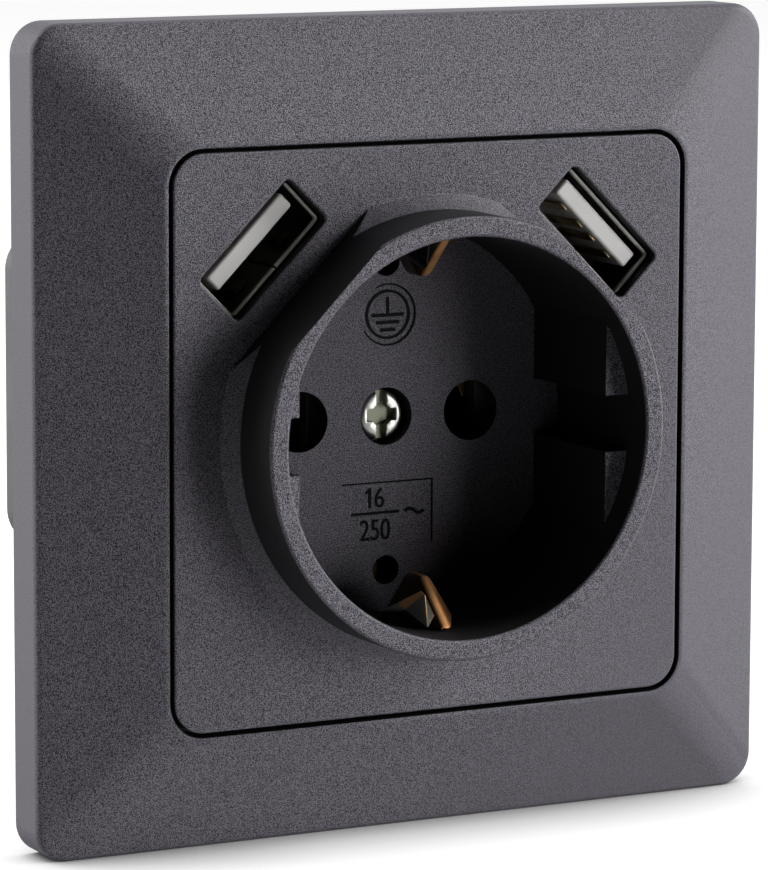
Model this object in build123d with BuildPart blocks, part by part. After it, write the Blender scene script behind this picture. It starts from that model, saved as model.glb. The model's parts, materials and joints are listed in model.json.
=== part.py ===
from build123d import *
import os
from math import cos, radians, sin, sqrt

# The socket stands in front of a wall in the plane y = 0. It faces -Y, X runs to the right and Z up.
# A height h is measured from the wall towards the room, so h = 9.9 is y = -9.9. Sizes are millimetres.

# Cover frame
frame_size = 80.0
frame_corner = 3.2
frame_side = 5.0
frame_edge_round = 0.5
edge_finder = 0.01
frame_wall = 2.0
lip_height = 9.9
lip_land = 0.4
opening_corner = 3.6
shelf_width = 1.7
shelf_depth = 1.5
shelf_drop = 3.4

# Centre plate, collar and cup
plate_gap = 0.4
plate_margin = 2.73
plate_edge_round = 0.3
plate_thick = 2.0
plate_rim = 1.5
collar_front = 17.7
collar_radius = 21.5
collar_edge = 0.25
collar_wall = 2.05
cup_depth = 17.5
floor_thick = 2.0
skirt_spread = 1.4
skirt_rise = 1.5
flat_drop = 1.05
rib_reach = 2.7
rib_drop = 3.3
rib_notch = 5.5
vent_margin = 4.05
vent_radius = 1.45
slot_margin = 0.4
mark_depth = 0.12
earth_mark = (0.2, 10.1)
earth_mark_radius = 3.1
rating_mark = (0.2, -9.7)
rating_mark_size = (10.2, 6.4)

# Pins and the screw in the middle
pin_spacing = 19.0
pin_hole_radius = 3.0
sleeve_bore = 2.45
pin_entry = 0.35
pin_entry_height = 12.0
screw_head_radius = 2.45
screw_head_room = 0.4
screw_radius = 1.5
screw_recess = 0.9
screw_head_thick = 1.6
screw_length = 9.0
screw_slot_width = 1.1
screw_cross = 3.2
screw_slot_depth = 0.7
thread_gap = 0.05
boss_radius = 4.0

# USB outlets
port_land = 2.55
shell_long = 13.1
shell_short = 5.6
shell_wall = 0.3
shell_drop = 0.9
window_gap = 0.1
window_corner = 0.6
tongue_long = 11.1
tongue_thick = 1.84
tongue_gap = 0.6
tongue_drop = 0.7
insulator_depth = 2.5
strip_width = 1.0
strip_thick = 0.25
strip_pitch_inner = 2.0
strip_pitch_outer = 7.0

# Support ring
ring_margin = 0.8
ring_corner = 4.0
ring_thick = 1.2
ring_cup_gap = 0.7
box_spacing = 60.0
box_slot_length = 6.0
box_slot_radius = 1.8
rivet_radius = 1.2
rivet_head_radius = 2.0
rivet_head = 0.7
rivet_length = 3.2
rivet_low_reach = 5.4
rivet_low_angle = -68.2
rivet_high_reach = 3.95
rivet_high_angle = 19.5

# Housing
house_room = 4.5
house_cut = 12.0
house_round = 4.0
house_wall = 2.0
house_edge_round = 0.8
tray_room = 8.1
tray_wall = 1.4
tray_floor = 1.0
web_gap = 1.2
notch_gap = 0.3
web_thick = 2.0
seam_depth = 14.0
house_depth = 34.5
post_margin = 6.5
post_radius = 3.2
house_screw_radius = 1.2
house_screw_head = 2.2
house_screw_head_thick = 2.0
house_screw_sink = 1.5
house_screw_end = 8.0

# Contacts and terminals
sleeve_wall = 0.85
sleeve_end = 19.0
sleeve_slit = 0.8
tail_width = 6.0
tail_thick = 0.8
tail_margin = 10.0
tail_end = 27.0
clamp_height = 6.0
clamp_front = 22.0
wire_radius = 1.5
wire_entry_radius = 2.0
clamp_wire_drop = 2.6
terminal_screw_radius = 1.2
terminal_head_radius = 1.9
terminal_head = 2.4
terminal_depth = 26.0
access_gap = 0.5

# Earth strap and clips
clip_reach = 5.6
clip_round = 1.0
clip_half = 3.3
clip_top_gap = 0.45
clip_sheet = 0.6
clip_floor_gap = 5.4
clip_bend = 8.0
clip_front = 12.6
clip_ramp_rise = 4.4
clip_wall_gap = 0.2
tie_gap = 0.2
tie_thick = 0.8
tie_ring_radius = 6.2
tie_ring_bore = 4.2
leg_gap = 0.1
leg_thick = 0.7
leg_plate_gap = 0.8

# Boards
usb_board_front = 1.0
board_thick = 1.6
board_collar_gap = 1.5
board_tray_gap = 0.2
usb_board_low = 11.5
board_side_gap = 0.7
power_level = 7.0
power_side_gap = 4.0
core_size = (14.0, 12.0, 10.0)
core_leg = 3.0
core_middle = 21.0
coil_gap = 0.4
can_radius = 3.5
can_length = 9.0
can_gap = 1.0
can_offset = 13.0
can_margin = 2.5
chip_size = (5.0, 6.0, 2.0)
chip_offset = 14.0
chip_margin = 4.5
chip_pitch = 7.5
chip_count = 3
lead_radius = 0.4
lead_places = (-9.0, -7.0, 7.0, 9.0)
lead_margin = 0.7
lead_turn = 9.0
lead_bend = 1.5
supply_radius = 0.5
supply_place = 12.0
solder_tab = 0.9

# Spreading claws
claw_side_gap = 0.7
claw_hinge_depth = 4.5
claw_level = -6.0
claw_width = 5.0
claw_sheet = 1.4
claw_length = 9.0
claw_tooth = 0.5
claw_leg_extra = 1.2
claw_barrel = 1.7
claw_pin_radius = 0.8
claw_pin_gap = 0.05
claw_screw_gap = 0.85
claw_screw_radius = 1.25
claw_screw_head = 2.0
claw_screw_head_thick = 1.4
claw_screw_travel = 1.6
claw_screw_tip = 0.5
claw_screw_tip_length = 0.4
claw_tip_gap = 0.1
claw_swing = 28.0
ear_thick = 1.1
ear_gap = 0.2
ear_reach = 5.9
ear_half = 1.4

# Sizes that follow from the ones above: the cup and the outlets
cup_radius = collar_radius - collar_wall
collar_flat = collar_radius - flat_drop
skirt_radius = collar_radius + skirt_spread
rib_chord = cup_radius - rib_reach
vent_offset = cup_radius - vent_margin
floor_front = collar_front - cup_depth
floor_back = floor_front - floor_thick
pin_x = pin_spacing / 2
head_seat = floor_front - screw_recess - screw_head_thick
window_short = shell_short + 2 * window_gap
window_long = shell_long + 2 * window_gap
port_offset = collar_flat + port_land + window_short / 2
diagonal = port_offset / sqrt(2)
port_right = Plane(origin=(diagonal, 0, diagonal), x_dir=(1, 0, 1), z_dir=(0, -1, 0))
shell_front = lip_height - shell_drop
bore_short = shell_short - 2 * shell_wall
bore_long = shell_long - 2 * shell_wall
tongue_centre = shell_short / 2 - shell_wall - tongue_gap - tongue_thick / 2
strip_places = [s * pitch / 2 for pitch in (strip_pitch_outer, strip_pitch_inner) for s in (-1, 1)]

# Plate, frame and ring
plate_size = sqrt(2) * (port_offset + window_short / 2 + window_long / 2) + 2 * plate_margin
opening = plate_size + 2 * plate_gap
plate_corner = opening_corner - plate_gap
shelf_front = lip_height - shelf_drop
ring_size = frame_size - 2 * frame_wall - 2 * ring_margin
rivet_spots = ((rivet_low_reach, rivet_low_angle), (rivet_high_reach, rivet_high_angle))
rivet_polar = [(collar_radius + reach, radians(angle)) for reach, angle in rivet_spots]
rivet_places = [(s * r * cos(angle), r * sin(angle)) for r, angle in rivet_polar for s in (-1, 1)]

# Earth strap
clip_apex = cup_radius - clip_reach
clip_top = cup_radius - clip_top_gap
clip_rear = floor_front + clip_floor_gap
tie_front = tie_gap - floor_back
leg_inner = collar_radius + leg_gap
leg_outer = leg_inner + leg_thick
leg_front = lip_height - plate_thick - leg_plate_gap
fold_leg = sqrt(clip_half**2 + (clip_top - clip_apex) ** 2)
fold_rise = clip_sheet * fold_leg / clip_half
fold_width = clip_sheet * fold_leg / (clip_top - clip_apex)

# Housing and what it holds
web_front = tie_front + tie_thick + web_gap
web_back = web_front + web_thick
house_half = collar_radius + house_room
inner_half = house_half - house_wall
inner_cut = house_cut - house_wall * (2 - sqrt(2))
inner_back = house_depth - house_wall
tray_radius = collar_radius + tray_room
tray_inner = tray_radius - tray_wall
tray_half = house_half - tray_wall
tray_depth = web_front + tray_floor
post_offset = house_half - post_margin
house_screw_seat = house_depth - house_screw_sink - house_screw_head_thick
sleeve_radius = sleeve_bore + sleeve_wall
tail_level = inner_half - tail_margin
clamp_top = -tail_level - tail_thick
clamp_bottom = clamp_top - clamp_height
clamp_depth = inner_back - clamp_front
wire_level = clamp_top - clamp_wire_drop
terminal_places = (-pin_x, 0, pin_x)
usb_board_back = usb_board_front + board_thick
usb_board_inner = collar_radius + board_collar_gap
usb_board_outer = tray_inner - board_tray_gap
usb_board_half = tray_half - board_side_gap
power_half = inner_half - power_side_gap
power_top = power_level + board_thick
can_start = inner_back - 2 * can_length - can_gap - can_margin
chip_rows = [inner_back - chip_margin - row * chip_pitch for row in range(chip_count)]
lead_level = sqrt(usb_board_inner**2 - min(map(abs, lead_places)) ** 2) + lead_margin

# Claws
claw_hinge_x = house_half + claw_side_gap + claw_sheet / 2
claw_screw_x = sqrt((collar_radius + claw_screw_head + claw_screw_gap) ** 2 - claw_level**2)
claw_leg = claw_hinge_x - claw_screw_x + claw_leg_extra
hinge_places = [(s * claw_hinge_x, claw_hinge_depth, claw_level) for s in (-1, 1)]

os.makedirs("parts", exist_ok=True)

# Cover frame: upright sides, a slope up to the opening, a hollow back and a shelf for the centre plate
with BuildPart() as cover_frame:
    with BuildSketch(Plane.XZ):
        RectangleRounded(frame_size, frame_size, frame_corner)
    extrude(amount=frame_side)
    with BuildSketch(Plane.XZ.offset(frame_side)):
        RectangleRounded(frame_size, frame_size, frame_corner)
    with BuildSketch(Plane.XZ.offset(lip_height)):
        RectangleRounded(opening + 2 * lip_land, opening + 2 * lip_land, opening_corner + lip_land)
    loft()
    crease_span = -frame_side - edge_finder, -frame_side + edge_finder
    crease = cover_frame.edges().filter_by_position(Axis.Y, *crease_span)
    fillet(crease, frame_edge_round)
    hollow = frame_size - 2 * frame_wall
    with BuildSketch(Plane.XZ):
        RectangleRounded(hollow, hollow, frame_corner / 2)
    extrude(amount=frame_side - frame_wall / 2, mode=Mode.SUBTRACT)
    with BuildSketch(Plane.XZ.offset(frame_side - frame_wall / 2)):
        RectangleRounded(hollow, hollow, frame_corner / 2)
    with BuildSketch(Plane.XZ.offset(lip_height - frame_wall)):
        RectangleRounded(opening, opening, opening_corner)
    loft(mode=Mode.SUBTRACT)
    sleeve = opening + 2 * frame_wall
    with BuildSketch(Plane.XZ.offset(ring_thick)):
        RectangleRounded(sleeve, sleeve, opening_corner + frame_wall)
    extrude(amount=lip_height - frame_wall - ring_thick)
    with BuildSketch(Plane.XZ):
        RectangleRounded(opening, opening, opening_corner)
    extrude(amount=lip_height, mode=Mode.SUBTRACT)
    with BuildSketch(Plane.XZ.offset(shelf_front - shelf_depth)):
        RectangleRounded(opening + frame_wall, opening + frame_wall, opening_corner)
        shelf = opening - 2 * shelf_width
        RectangleRounded(shelf, shelf, opening_corner - shelf_width / 2, mode=Mode.SUBTRACT)
    extrude(amount=shelf_depth)
cover_frame.part.label = "cover_frame"
export_step(cover_frame.part, "parts/cover_frame.step")

# Centre plate: plate and rim, then the turned collar, skirt and cup, then what is cut out of them
with BuildPart() as centre_plate:
    with BuildSketch(Plane.XZ.offset(lip_height - plate_thick)):
        RectangleRounded(plate_size, plate_size, plate_corner)
        Circle((cup_radius + collar_radius) / 2, mode=Mode.SUBTRACT)
    extrude(amount=plate_thick)
    plate_edge = centre_plate.faces().sort_by(Axis.Y)[0].outer_wire().edges()
    fillet(plate_edge, plate_edge_round)
    with BuildSketch(Plane.XZ.offset(shelf_front)):
        RectangleRounded(plate_size, plate_size, plate_corner)
        inner = plate_size - 2 * plate_rim
        RectangleRounded(inner, inner, plate_corner - plate_rim, mode=Mode.SUBTRACT)
    extrude(amount=lip_height - plate_thick - shelf_front)
    with BuildSketch(Plane.XY):
        with BuildLine():
            Polyline(
                (0, -floor_back),
                (collar_radius, -floor_back),
                (collar_radius, -lip_height + plate_thick / 2),
                (skirt_radius, -lip_height + plate_thick / 2),
                (skirt_radius, -lip_height),
                (collar_radius, -lip_height - skirt_rise),
                (collar_radius, -collar_front + collar_edge),
                (collar_radius - collar_edge, -collar_front),
                (cup_radius + collar_edge, -collar_front),
                (cup_radius, -collar_front + collar_edge),
                (cup_radius, -floor_front),
                (0, -floor_front),
                close=True,
            )
        make_face()
    revolve(axis=Axis.Y)
    with BuildSketch(Plane.XZ.offset(lip_height)):
        with PolarLocations(collar_flat + collar_radius / 2, 2, 45, 90, endpoint=True):
            Rectangle(collar_radius, 2 * collar_radius)
    extrude(amount=collar_front, mode=Mode.SUBTRACT)
    with BuildSketch(Plane.XZ.offset(floor_front)):
        Circle((cup_radius + collar_flat) / 2)
        Rectangle(2 * rib_chord, 2 * collar_radius, mode=Mode.SUBTRACT)
        Rectangle(2 * collar_radius, rib_notch, mode=Mode.SUBTRACT)
    extrude(amount=collar_front - rib_drop - floor_front)
    with BuildSketch(Plane.XZ.offset(-web_front)):
        Circle(boss_radius)
    extrude(amount=floor_back + web_front)
    with BuildSketch(Plane.XZ.offset(head_seat)):
        Circle(screw_head_radius + screw_head_room)
    extrude(amount=floor_front - head_seat, mode=Mode.SUBTRACT)
    with BuildSketch(Plane.XZ.offset(-web_front)):
        Circle(screw_radius + thread_gap)
    extrude(amount=web_front + floor_front, mode=Mode.SUBTRACT)
    with BuildSketch(Plane.XZ.offset(floor_back)):
        with Locations((-pin_x, 0), (pin_x, 0)):
            Circle(pin_hole_radius)
        with Locations((0, -vent_offset), (0, vent_offset)):
            Circle(vent_radius)
    extrude(amount=floor_thick, mode=Mode.SUBTRACT)
    with BuildSketch(Plane.XZ.offset(floor_front - mark_depth)):
        with Locations(earth_mark):
            Circle(earth_mark_radius)
        with Locations(rating_mark):
            Rectangle(*rating_mark_size)
    extrude(amount=mark_depth, mode=Mode.SUBTRACT)
    with BuildSketch(Plane.XZ.offset(lip_height - plate_thick)):
        with PolarLocations(port_offset, 2, 45, 90, endpoint=True):
            RectangleRounded(window_short, window_long, window_corner)
    extrude(amount=plate_thick, mode=Mode.SUBTRACT)
    with BuildSketch(Plane.XZ.offset(clip_rear - slot_margin)):
        with Locations((0, -collar_radius), (0, collar_radius)):
            Rectangle(2 * (clip_half + slot_margin), 2 * (collar_radius - clip_top) + 2 * slot_margin)
    extrude(amount=leg_front + 2 * slot_margin - clip_rear, mode=Mode.SUBTRACT)
centre_plate.part.label = "centre_plate"
export_step(centre_plate.part, "parts/centre_plate.step")

# Centre screw: a pan head with a slot and a cross, seated on the ledge of the cup floor
with BuildPart() as centre_screw:
    with BuildSketch(Plane.XZ.offset(head_seat)):
        Circle(screw_head_radius)
    extrude(amount=screw_head_thick)
    crown = centre_screw.edges().group_by(Axis.Y)[0]
    fillet(crown, screw_head_thick / 4)
    with BuildSketch(Plane.XZ.offset(head_seat)):
        Circle(screw_radius)
    extrude(amount=-screw_length)
    with BuildSketch(Plane.XZ.offset(head_seat + screw_head_thick - screw_slot_depth)):
        Rectangle(screw_slot_width, 2 * screw_head_radius)
        Rectangle(screw_cross, screw_slot_width)
    extrude(amount=screw_slot_depth, mode=Mode.SUBTRACT)
centre_screw.part.label = "centre_screw"
export_step(centre_screw.part, "parts/centre_screw.step")

# Support ring: steel plate on the wall with slots for the box screws and ears for the claws
with BuildPart() as support_ring:
    with BuildSketch(Plane.XZ):
        RectangleRounded(ring_size, ring_size, ring_corner)
        Circle(collar_radius + ring_cup_gap, mode=Mode.SUBTRACT)
        Rectangle(2 * (clip_half + slot_margin), 2 * (leg_outer + slot_margin), mode=Mode.SUBTRACT)
        with PolarLocations(port_offset, 2, 45, 90, endpoint=True):
            Rectangle(window_short + 2 * window_gap, window_long + 2 * window_gap, mode=Mode.SUBTRACT)
        with Locations((-box_spacing / 2, 0), (box_spacing / 2, 0)):
            SlotOverall(box_slot_length, 2 * box_slot_radius, mode=Mode.SUBTRACT)
        with Locations((0, -box_spacing / 2), (0, box_spacing / 2)):
            SlotOverall(box_slot_length, 2 * box_slot_radius, rotation=90, mode=Mode.SUBTRACT)
        with Locations(*rivet_places):
            Circle(rivet_radius, mode=Mode.SUBTRACT)
        with Locations((-claw_screw_x, claw_level), (claw_screw_x, claw_level)):
            Circle(claw_screw_radius + claw_pin_gap, mode=Mode.SUBTRACT)
    extrude(amount=ring_thick)
    ear_step = claw_width / 2 + ear_gap + ear_thick / 2
    ear_places = [(s * claw_hinge_x, claw_level + d) for s in (-1, 1) for d in (-ear_step, ear_step)]
    with BuildSketch(Plane.XZ.offset(-ear_reach)):
        with Locations(*ear_places):
            Rectangle(2 * ear_half, ear_thick)
    extrude(amount=ear_reach)
    with Locations(*hinge_places):
        Cylinder(claw_pin_radius, 2 * (ear_step + ear_thick), mode=Mode.SUBTRACT)
support_ring.part.label = "support_ring"
export_step(support_ring.part, "parts/support_ring.step")

# Rivets that hold the ring on the housing
with BuildPart() as ring_rivets:
    with BuildSketch(Plane.XZ.offset(-rivet_length)):
        with Locations(*rivet_places):
            Circle(rivet_radius)
    extrude(amount=rivet_length + ring_thick)
    with BuildSketch(Plane.XZ.offset(ring_thick)):
        with Locations(*rivet_places):
            Circle(rivet_head_radius)
    extrude(amount=rivet_head)
ring_rivets.part.label = "ring_rivets"
export_step(ring_rivets.part, "parts/ring_rivets.step")

# Front half of the housing: a round tray on the wall side, a web with the posts, an octagonal skirt behind
with BuildPart() as socket_base:
    with BuildSketch(Plane.XZ.offset(-tray_depth)):
        Circle(tray_radius)
        Rectangle(2 * house_half, 2 * tray_radius, mode=Mode.INTERSECT)
    extrude(amount=tray_depth)
    with BuildSketch(Plane.XZ.offset(-web_front)):
        Circle(tray_inner)
        Rectangle(2 * tray_half, 2 * tray_radius, mode=Mode.INTERSECT)
    extrude(amount=web_front, mode=Mode.SUBTRACT)
    with BuildSketch(Plane.XZ.offset(-seam_depth)) as outline:
        Rectangle(2 * house_half, 2 * house_half)
        chamfer(outline.vertices(), house_cut)
        fillet(outline.vertices(), house_round)
    extrude(amount=seam_depth - web_front)
    with BuildSketch(Plane.XZ.offset(-seam_depth)) as outline:
        Rectangle(2 * inner_half, 2 * inner_half)
        chamfer(outline.vertices(), inner_cut)
        fillet(outline.vertices(), house_round - house_wall)
    extrude(amount=seam_depth - web_back, mode=Mode.SUBTRACT)
    with BuildSketch(Plane.XZ.offset(-seam_depth)):
        Circle(boss_radius)
        with Locations((-post_offset, 0), (post_offset, 0)):
            Circle(post_radius)
    extrude(amount=seam_depth - web_back)
    with BuildSketch(Plane.XZ.offset(-web_front)):
        with Locations(*rivet_places):
            Circle(rivet_head_radius)
    extrude(amount=web_front)
    pad_place = lead_places[-1] + rivet_head_radius + 2 * lead_radius
    with BuildSketch(Plane.XZ.offset(-web_front)):
        with Locations((-pad_place, lead_level), (pad_place, lead_level)):
            Circle(rivet_radius)
    extrude(amount=web_front - usb_board_back)
    with BuildSketch(Plane.XZ.offset(-rivet_length)):
        with Locations(*rivet_places):
            Circle(rivet_radius)
    extrude(amount=rivet_length, mode=Mode.SUBTRACT)
    with BuildSketch(Plane.XZ.offset(-seam_depth)):
        Circle(screw_radius + thread_gap)
        with Locations((-post_offset, 0), (post_offset, 0)):
            Circle(house_screw_radius + thread_gap)
    extrude(amount=seam_depth - house_screw_end, mode=Mode.SUBTRACT)
    with BuildSketch(Plane.XZ.offset(-seam_depth)):
        Circle(screw_radius + thread_gap)
    extrude(amount=seam_depth, mode=Mode.SUBTRACT)
    with BuildSketch(Plane.XZ.offset(-web_back)):
        with Locations((-pin_x, 0), (pin_x, 0)):
            SlotOverall(pin_entry_height, 2 * sleeve_bore + 2 * pin_entry, rotation=90)
        with Locations(*[(x, lead_level) for x in lead_places]):
            Circle(2 * lead_radius)
        with Locations((0, -tail_level - tail_thick / 2)):
            Rectangle(tail_width + 2 * slot_margin, tail_thick + 2 * slot_margin)
    extrude(amount=web_thick, mode=Mode.SUBTRACT)
    with BuildSketch(Plane.XZ.offset(-usb_board_front - window_gap)):
        with PolarLocations(port_offset + shell_short / 2, 2, 45, 90, endpoint=True):
            Rectangle(2 * shell_short + 2 * window_gap, window_long)
    extrude(amount=usb_board_front + window_gap, mode=Mode.SUBTRACT)
    with BuildSketch(Plane.XZ.offset(-tray_depth)):
        with Locations((0, -box_spacing / 2), (0, box_spacing / 2)):
            notch_length = box_slot_length + 2 * notch_gap
            SlotOverall(notch_length, 2 * box_slot_radius + 2 * notch_gap, rotation=90)
    extrude(amount=tray_depth, mode=Mode.SUBTRACT)
    notch_inner = claw_hinge_x - claw_leg - claw_sheet
    notch_depth = claw_hinge_depth + claw_leg * sin(radians(claw_swing)) + claw_sheet + ear_gap
    with Locations((-house_half, notch_depth / 2, claw_level), (house_half, notch_depth / 2, claw_level)):
        Box(2 * (house_half - notch_inner), notch_depth, claw_width + 2 * ear_gap, mode=Mode.SUBTRACT)
socket_base.part.label = "socket_base"
export_step(socket_base.part, "parts/socket_base.step")

# Rear half of the housing, with bosses for the screws and holes for the wires and the terminal screws
with BuildPart() as rear_cover:
    with BuildSketch(Plane.XZ.offset(-house_depth)) as outline:
        Rectangle(2 * house_half, 2 * house_half)
        chamfer(outline.vertices(), house_cut)
        fillet(outline.vertices(), house_round)
    extrude(amount=house_depth - seam_depth)
    fillet(rear_cover.edges().group_by(Axis.Y)[-1], house_edge_round)
    with BuildSketch(Plane.XZ.offset(-inner_back)) as outline:
        Rectangle(2 * inner_half, 2 * inner_half)
        chamfer(outline.vertices(), inner_cut)
        fillet(outline.vertices(), house_round - house_wall)
    extrude(amount=inner_back - seam_depth, mode=Mode.SUBTRACT)
    with BuildSketch(Plane.XZ.offset(-inner_back)):
        with Locations((-post_offset, 0), (post_offset, 0)):
            Circle(post_radius)
    extrude(amount=inner_back - seam_depth)
    with BuildSketch(Plane.XZ.offset(-house_depth)):
        with Locations((-post_offset, 0), (post_offset, 0)):
            Circle(house_screw_radius + thread_gap)
    extrude(amount=house_depth - seam_depth, mode=Mode.SUBTRACT)
    with BuildSketch(Plane.XZ.offset(-house_depth)):
        with Locations((-post_offset, 0), (post_offset, 0)):
            Circle(house_screw_head + access_gap / 2)
    extrude(amount=house_depth - house_screw_seat, mode=Mode.SUBTRACT)
    with BuildSketch(Plane.XZ.offset(-house_depth)):
        with Locations(*[(x, wire_level) for x in terminal_places]):
            Circle(wire_entry_radius)
    extrude(amount=house_wall, mode=Mode.SUBTRACT)
    with BuildSketch(Plane.XY.offset(-house_half)):
        with Locations(*[(x, terminal_depth) for x in terminal_places]):
            Circle(terminal_head_radius + access_gap)
    extrude(amount=2 * house_wall, mode=Mode.SUBTRACT)
rear_cover.part.label = "rear_cover"
export_step(rear_cover.part, "parts/rear_cover.step")

# Screws that close the housing from behind
with BuildPart() as housing_screws:
    with BuildSketch(Plane.XZ.offset(-house_screw_seat)):
        with Locations((-post_offset, 0), (post_offset, 0)):
            Circle(house_screw_head)
    extrude(amount=-house_screw_head_thick)
    with BuildSketch(Plane.XZ.offset(-house_screw_seat)):
        with Locations((-post_offset, 0), (post_offset, 0)):
            Circle(house_screw_radius)
    extrude(amount=house_screw_seat - house_screw_end)
    with BuildSketch(Plane.XZ.offset(-house_screw_seat - house_screw_head_thick)):
        with Locations((-post_offset, 0), (post_offset, 0)):
            Rectangle(2 * house_screw_head, screw_slot_width)
    extrude(amount=screw_slot_depth, mode=Mode.SUBTRACT)
housing_screws.part.label = "housing_screws"
export_step(housing_screws.part, "parts/housing_screws.step")

# Line contact: a slit sleeve for the plug's pin, a tail down to the terminal and a tab for the supply lead
with BuildPart() as line_contact:
    with BuildSketch(Plane.XZ.offset(-sleeve_end)):
        with Locations((pin_x, 0)):
            Circle(sleeve_radius)
    extrude(amount=sleeve_end - web_back)
    with Locations((pin_x, supply_place, sleeve_radius)):
        Box(tail_thick, 2 * supply_radius, 2 * solder_tab)
    with BuildSketch(Plane.XZ.offset(-sleeve_end)):
        with Locations((pin_x, -tail_level / 2 - tail_thick / 2)):
            Rectangle(tail_width, tail_level + tail_thick)
    extrude(amount=tail_thick)
    with Locations((pin_x, (sleeve_end + tail_end) / 2, clamp_top + tail_thick / 2)):
        Box(tail_width, tail_end - sleeve_end + 2 * tail_thick, tail_thick)
    with BuildSketch(Plane.XZ.offset(-sleeve_end)):
        with Locations((pin_x, 0)):
            Circle(sleeve_bore)
    extrude(amount=sleeve_end, mode=Mode.SUBTRACT)
    slit_end = sleeve_end - 3 * tail_thick
    with Locations((pin_x, (web_back + slit_end) / 2, 0)):
        Box(3 * sleeve_radius, slit_end - web_back, sleeve_slit, mode=Mode.SUBTRACT)
line_contact.part.label = "line_contact"
export_step(line_contact.part, "parts/line_contact.step")

# Neutral contact, the mirror image of the line contact
with BuildPart() as neutral_contact:
    mirror(line_contact.part, about=Plane.YZ)
neutral_contact.part.label = "neutral_contact"
export_step(neutral_contact.part, "parts/neutral_contact.step")

# Line terminal: a brass block with a bore for the wire and a hole for its screw
with BuildPart() as line_clamp:
    with Locations((pin_x, clamp_front + clamp_depth / 2, (clamp_top + clamp_bottom) / 2)):
        Box(tail_width, clamp_depth, clamp_height)
    with BuildSketch(Plane.XZ.offset(-inner_back)):
        with Locations((pin_x, wire_level)):
            Circle(wire_radius)
    extrude(amount=clamp_depth, mode=Mode.SUBTRACT)
    with BuildSketch(Plane.XY.offset(clamp_bottom)):
        with Locations((pin_x, terminal_depth)):
            Circle(terminal_screw_radius + thread_gap)
    extrude(amount=wire_level - clamp_bottom, mode=Mode.SUBTRACT)
line_clamp.part.label = "line_clamp"
export_step(line_clamp.part, "parts/line_clamp.step")

# Neutral and earth terminals are the same block in other places
with BuildPart() as neutral_clamp:
    with Locations((-pin_spacing, 0, 0)):
        add(line_clamp.part)
neutral_clamp.part.label = "neutral_clamp"
export_step(neutral_clamp.part, "parts/neutral_clamp.step")

with BuildPart() as earth_clamp:
    with Locations((-pin_x, 0, 0)):
        add(line_clamp.part)
earth_clamp.part.label = "earth_clamp"
export_step(earth_clamp.part, "parts/earth_clamp.step")

# Terminal screws, turned from below
with BuildPart() as terminal_screws:
    with BuildSketch(Plane.XY.offset(clamp_bottom)):
        with Locations(*[(x, terminal_depth) for x in terminal_places]):
            Circle(terminal_head_radius)
    extrude(amount=-terminal_head)
    with BuildSketch(Plane.XY.offset(clamp_bottom)):
        with Locations(*[(x, terminal_depth) for x in terminal_places]):
            Circle(terminal_screw_radius)
    extrude(amount=wire_level - wire_radius - clamp_bottom)
    with BuildSketch(Plane.XY.offset(clamp_bottom - terminal_head)):
        with Locations(*[(x, terminal_depth) for x in terminal_places]):
            Rectangle(screw_slot_width, 2 * terminal_head_radius)
    extrude(amount=screw_slot_depth, mode=Mode.SUBTRACT)
terminal_screws.part.label = "terminal_screws"
export_step(terminal_screws.part, "parts/terminal_screws.step")

# Earth strap: a tie behind the cup floor, a leg and a folded clip at each end, a tail to the terminal
with BuildPart() as earth_strap:
    with BuildSketch(Plane.XZ.offset(clip_rear)) as fold:
        with BuildLine():
            Polyline(
                (-clip_half, clip_top),
                (0, clip_apex),
                (clip_half, clip_top),
                (clip_half - fold_width, clip_top),
                (0, clip_apex + fold_rise),
                (fold_width - clip_half, clip_top),
                close=True,
            )
        make_face()
        fillet(fold.vertices().sort_by(Axis.Y)[0], clip_round)
        inner_nose = fold.vertices().filter_by_position(Axis.X, -edge_finder, edge_finder)
        fillet(inner_nose, clip_round - clip_sheet)
    extrude(amount=clip_bend - clip_rear)
    ramp = (0, clip_bend - clip_front, clip_ramp_rise)
    ramp_length = sqrt((clip_front - clip_bend) ** 2 + clip_ramp_rise**2)
    extrude(earth_strap.faces().sort_by(Axis.Y)[0], amount=ramp_length, dir=ramp)
    with BuildSketch(Plane.XZ.offset(clip_bend)):
        Circle(2 * collar_radius)
        Circle(cup_radius - clip_wall_gap, mode=Mode.SUBTRACT)
    extrude(amount=2 * clip_front, mode=Mode.SUBTRACT)
    side = clip_half - clip_sheet / 2
    with BuildSketch(Plane.XZ.offset(clip_rear)):
        with Locations((-side, (clip_top + leg_outer) / 2), (side, (clip_top + leg_outer) / 2)):
            Rectangle(clip_sheet, leg_outer - clip_top)
    extrude(amount=leg_front - clip_rear)
    with BuildSketch(Plane.XZ.offset(-tie_front - tie_thick)):
        with Locations((0, (leg_inner + leg_outer) / 2)):
            Rectangle(2 * clip_half, leg_thick)
    extrude(amount=tie_front + tie_thick + leg_front)
    mirror(about=Plane.XY)
    with BuildSketch(Plane.XZ.offset(-tie_front - tie_thick)):
        Rectangle(tail_width, 2 * leg_inner)
        Circle(tie_ring_radius)
        Circle(tie_ring_bore, mode=Mode.SUBTRACT)
    extrude(amount=tie_thick)
    with BuildSketch(Plane.XZ.offset(-tail_end)):
        with Locations((0, clamp_top + tail_thick / 2)):
            Rectangle(tail_width, tail_thick)
    extrude(amount=tail_end - tie_front)
earth_strap.part.label = "earth_strap"
export_step(earth_strap.part, "parts/earth_strap.step")

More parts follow.
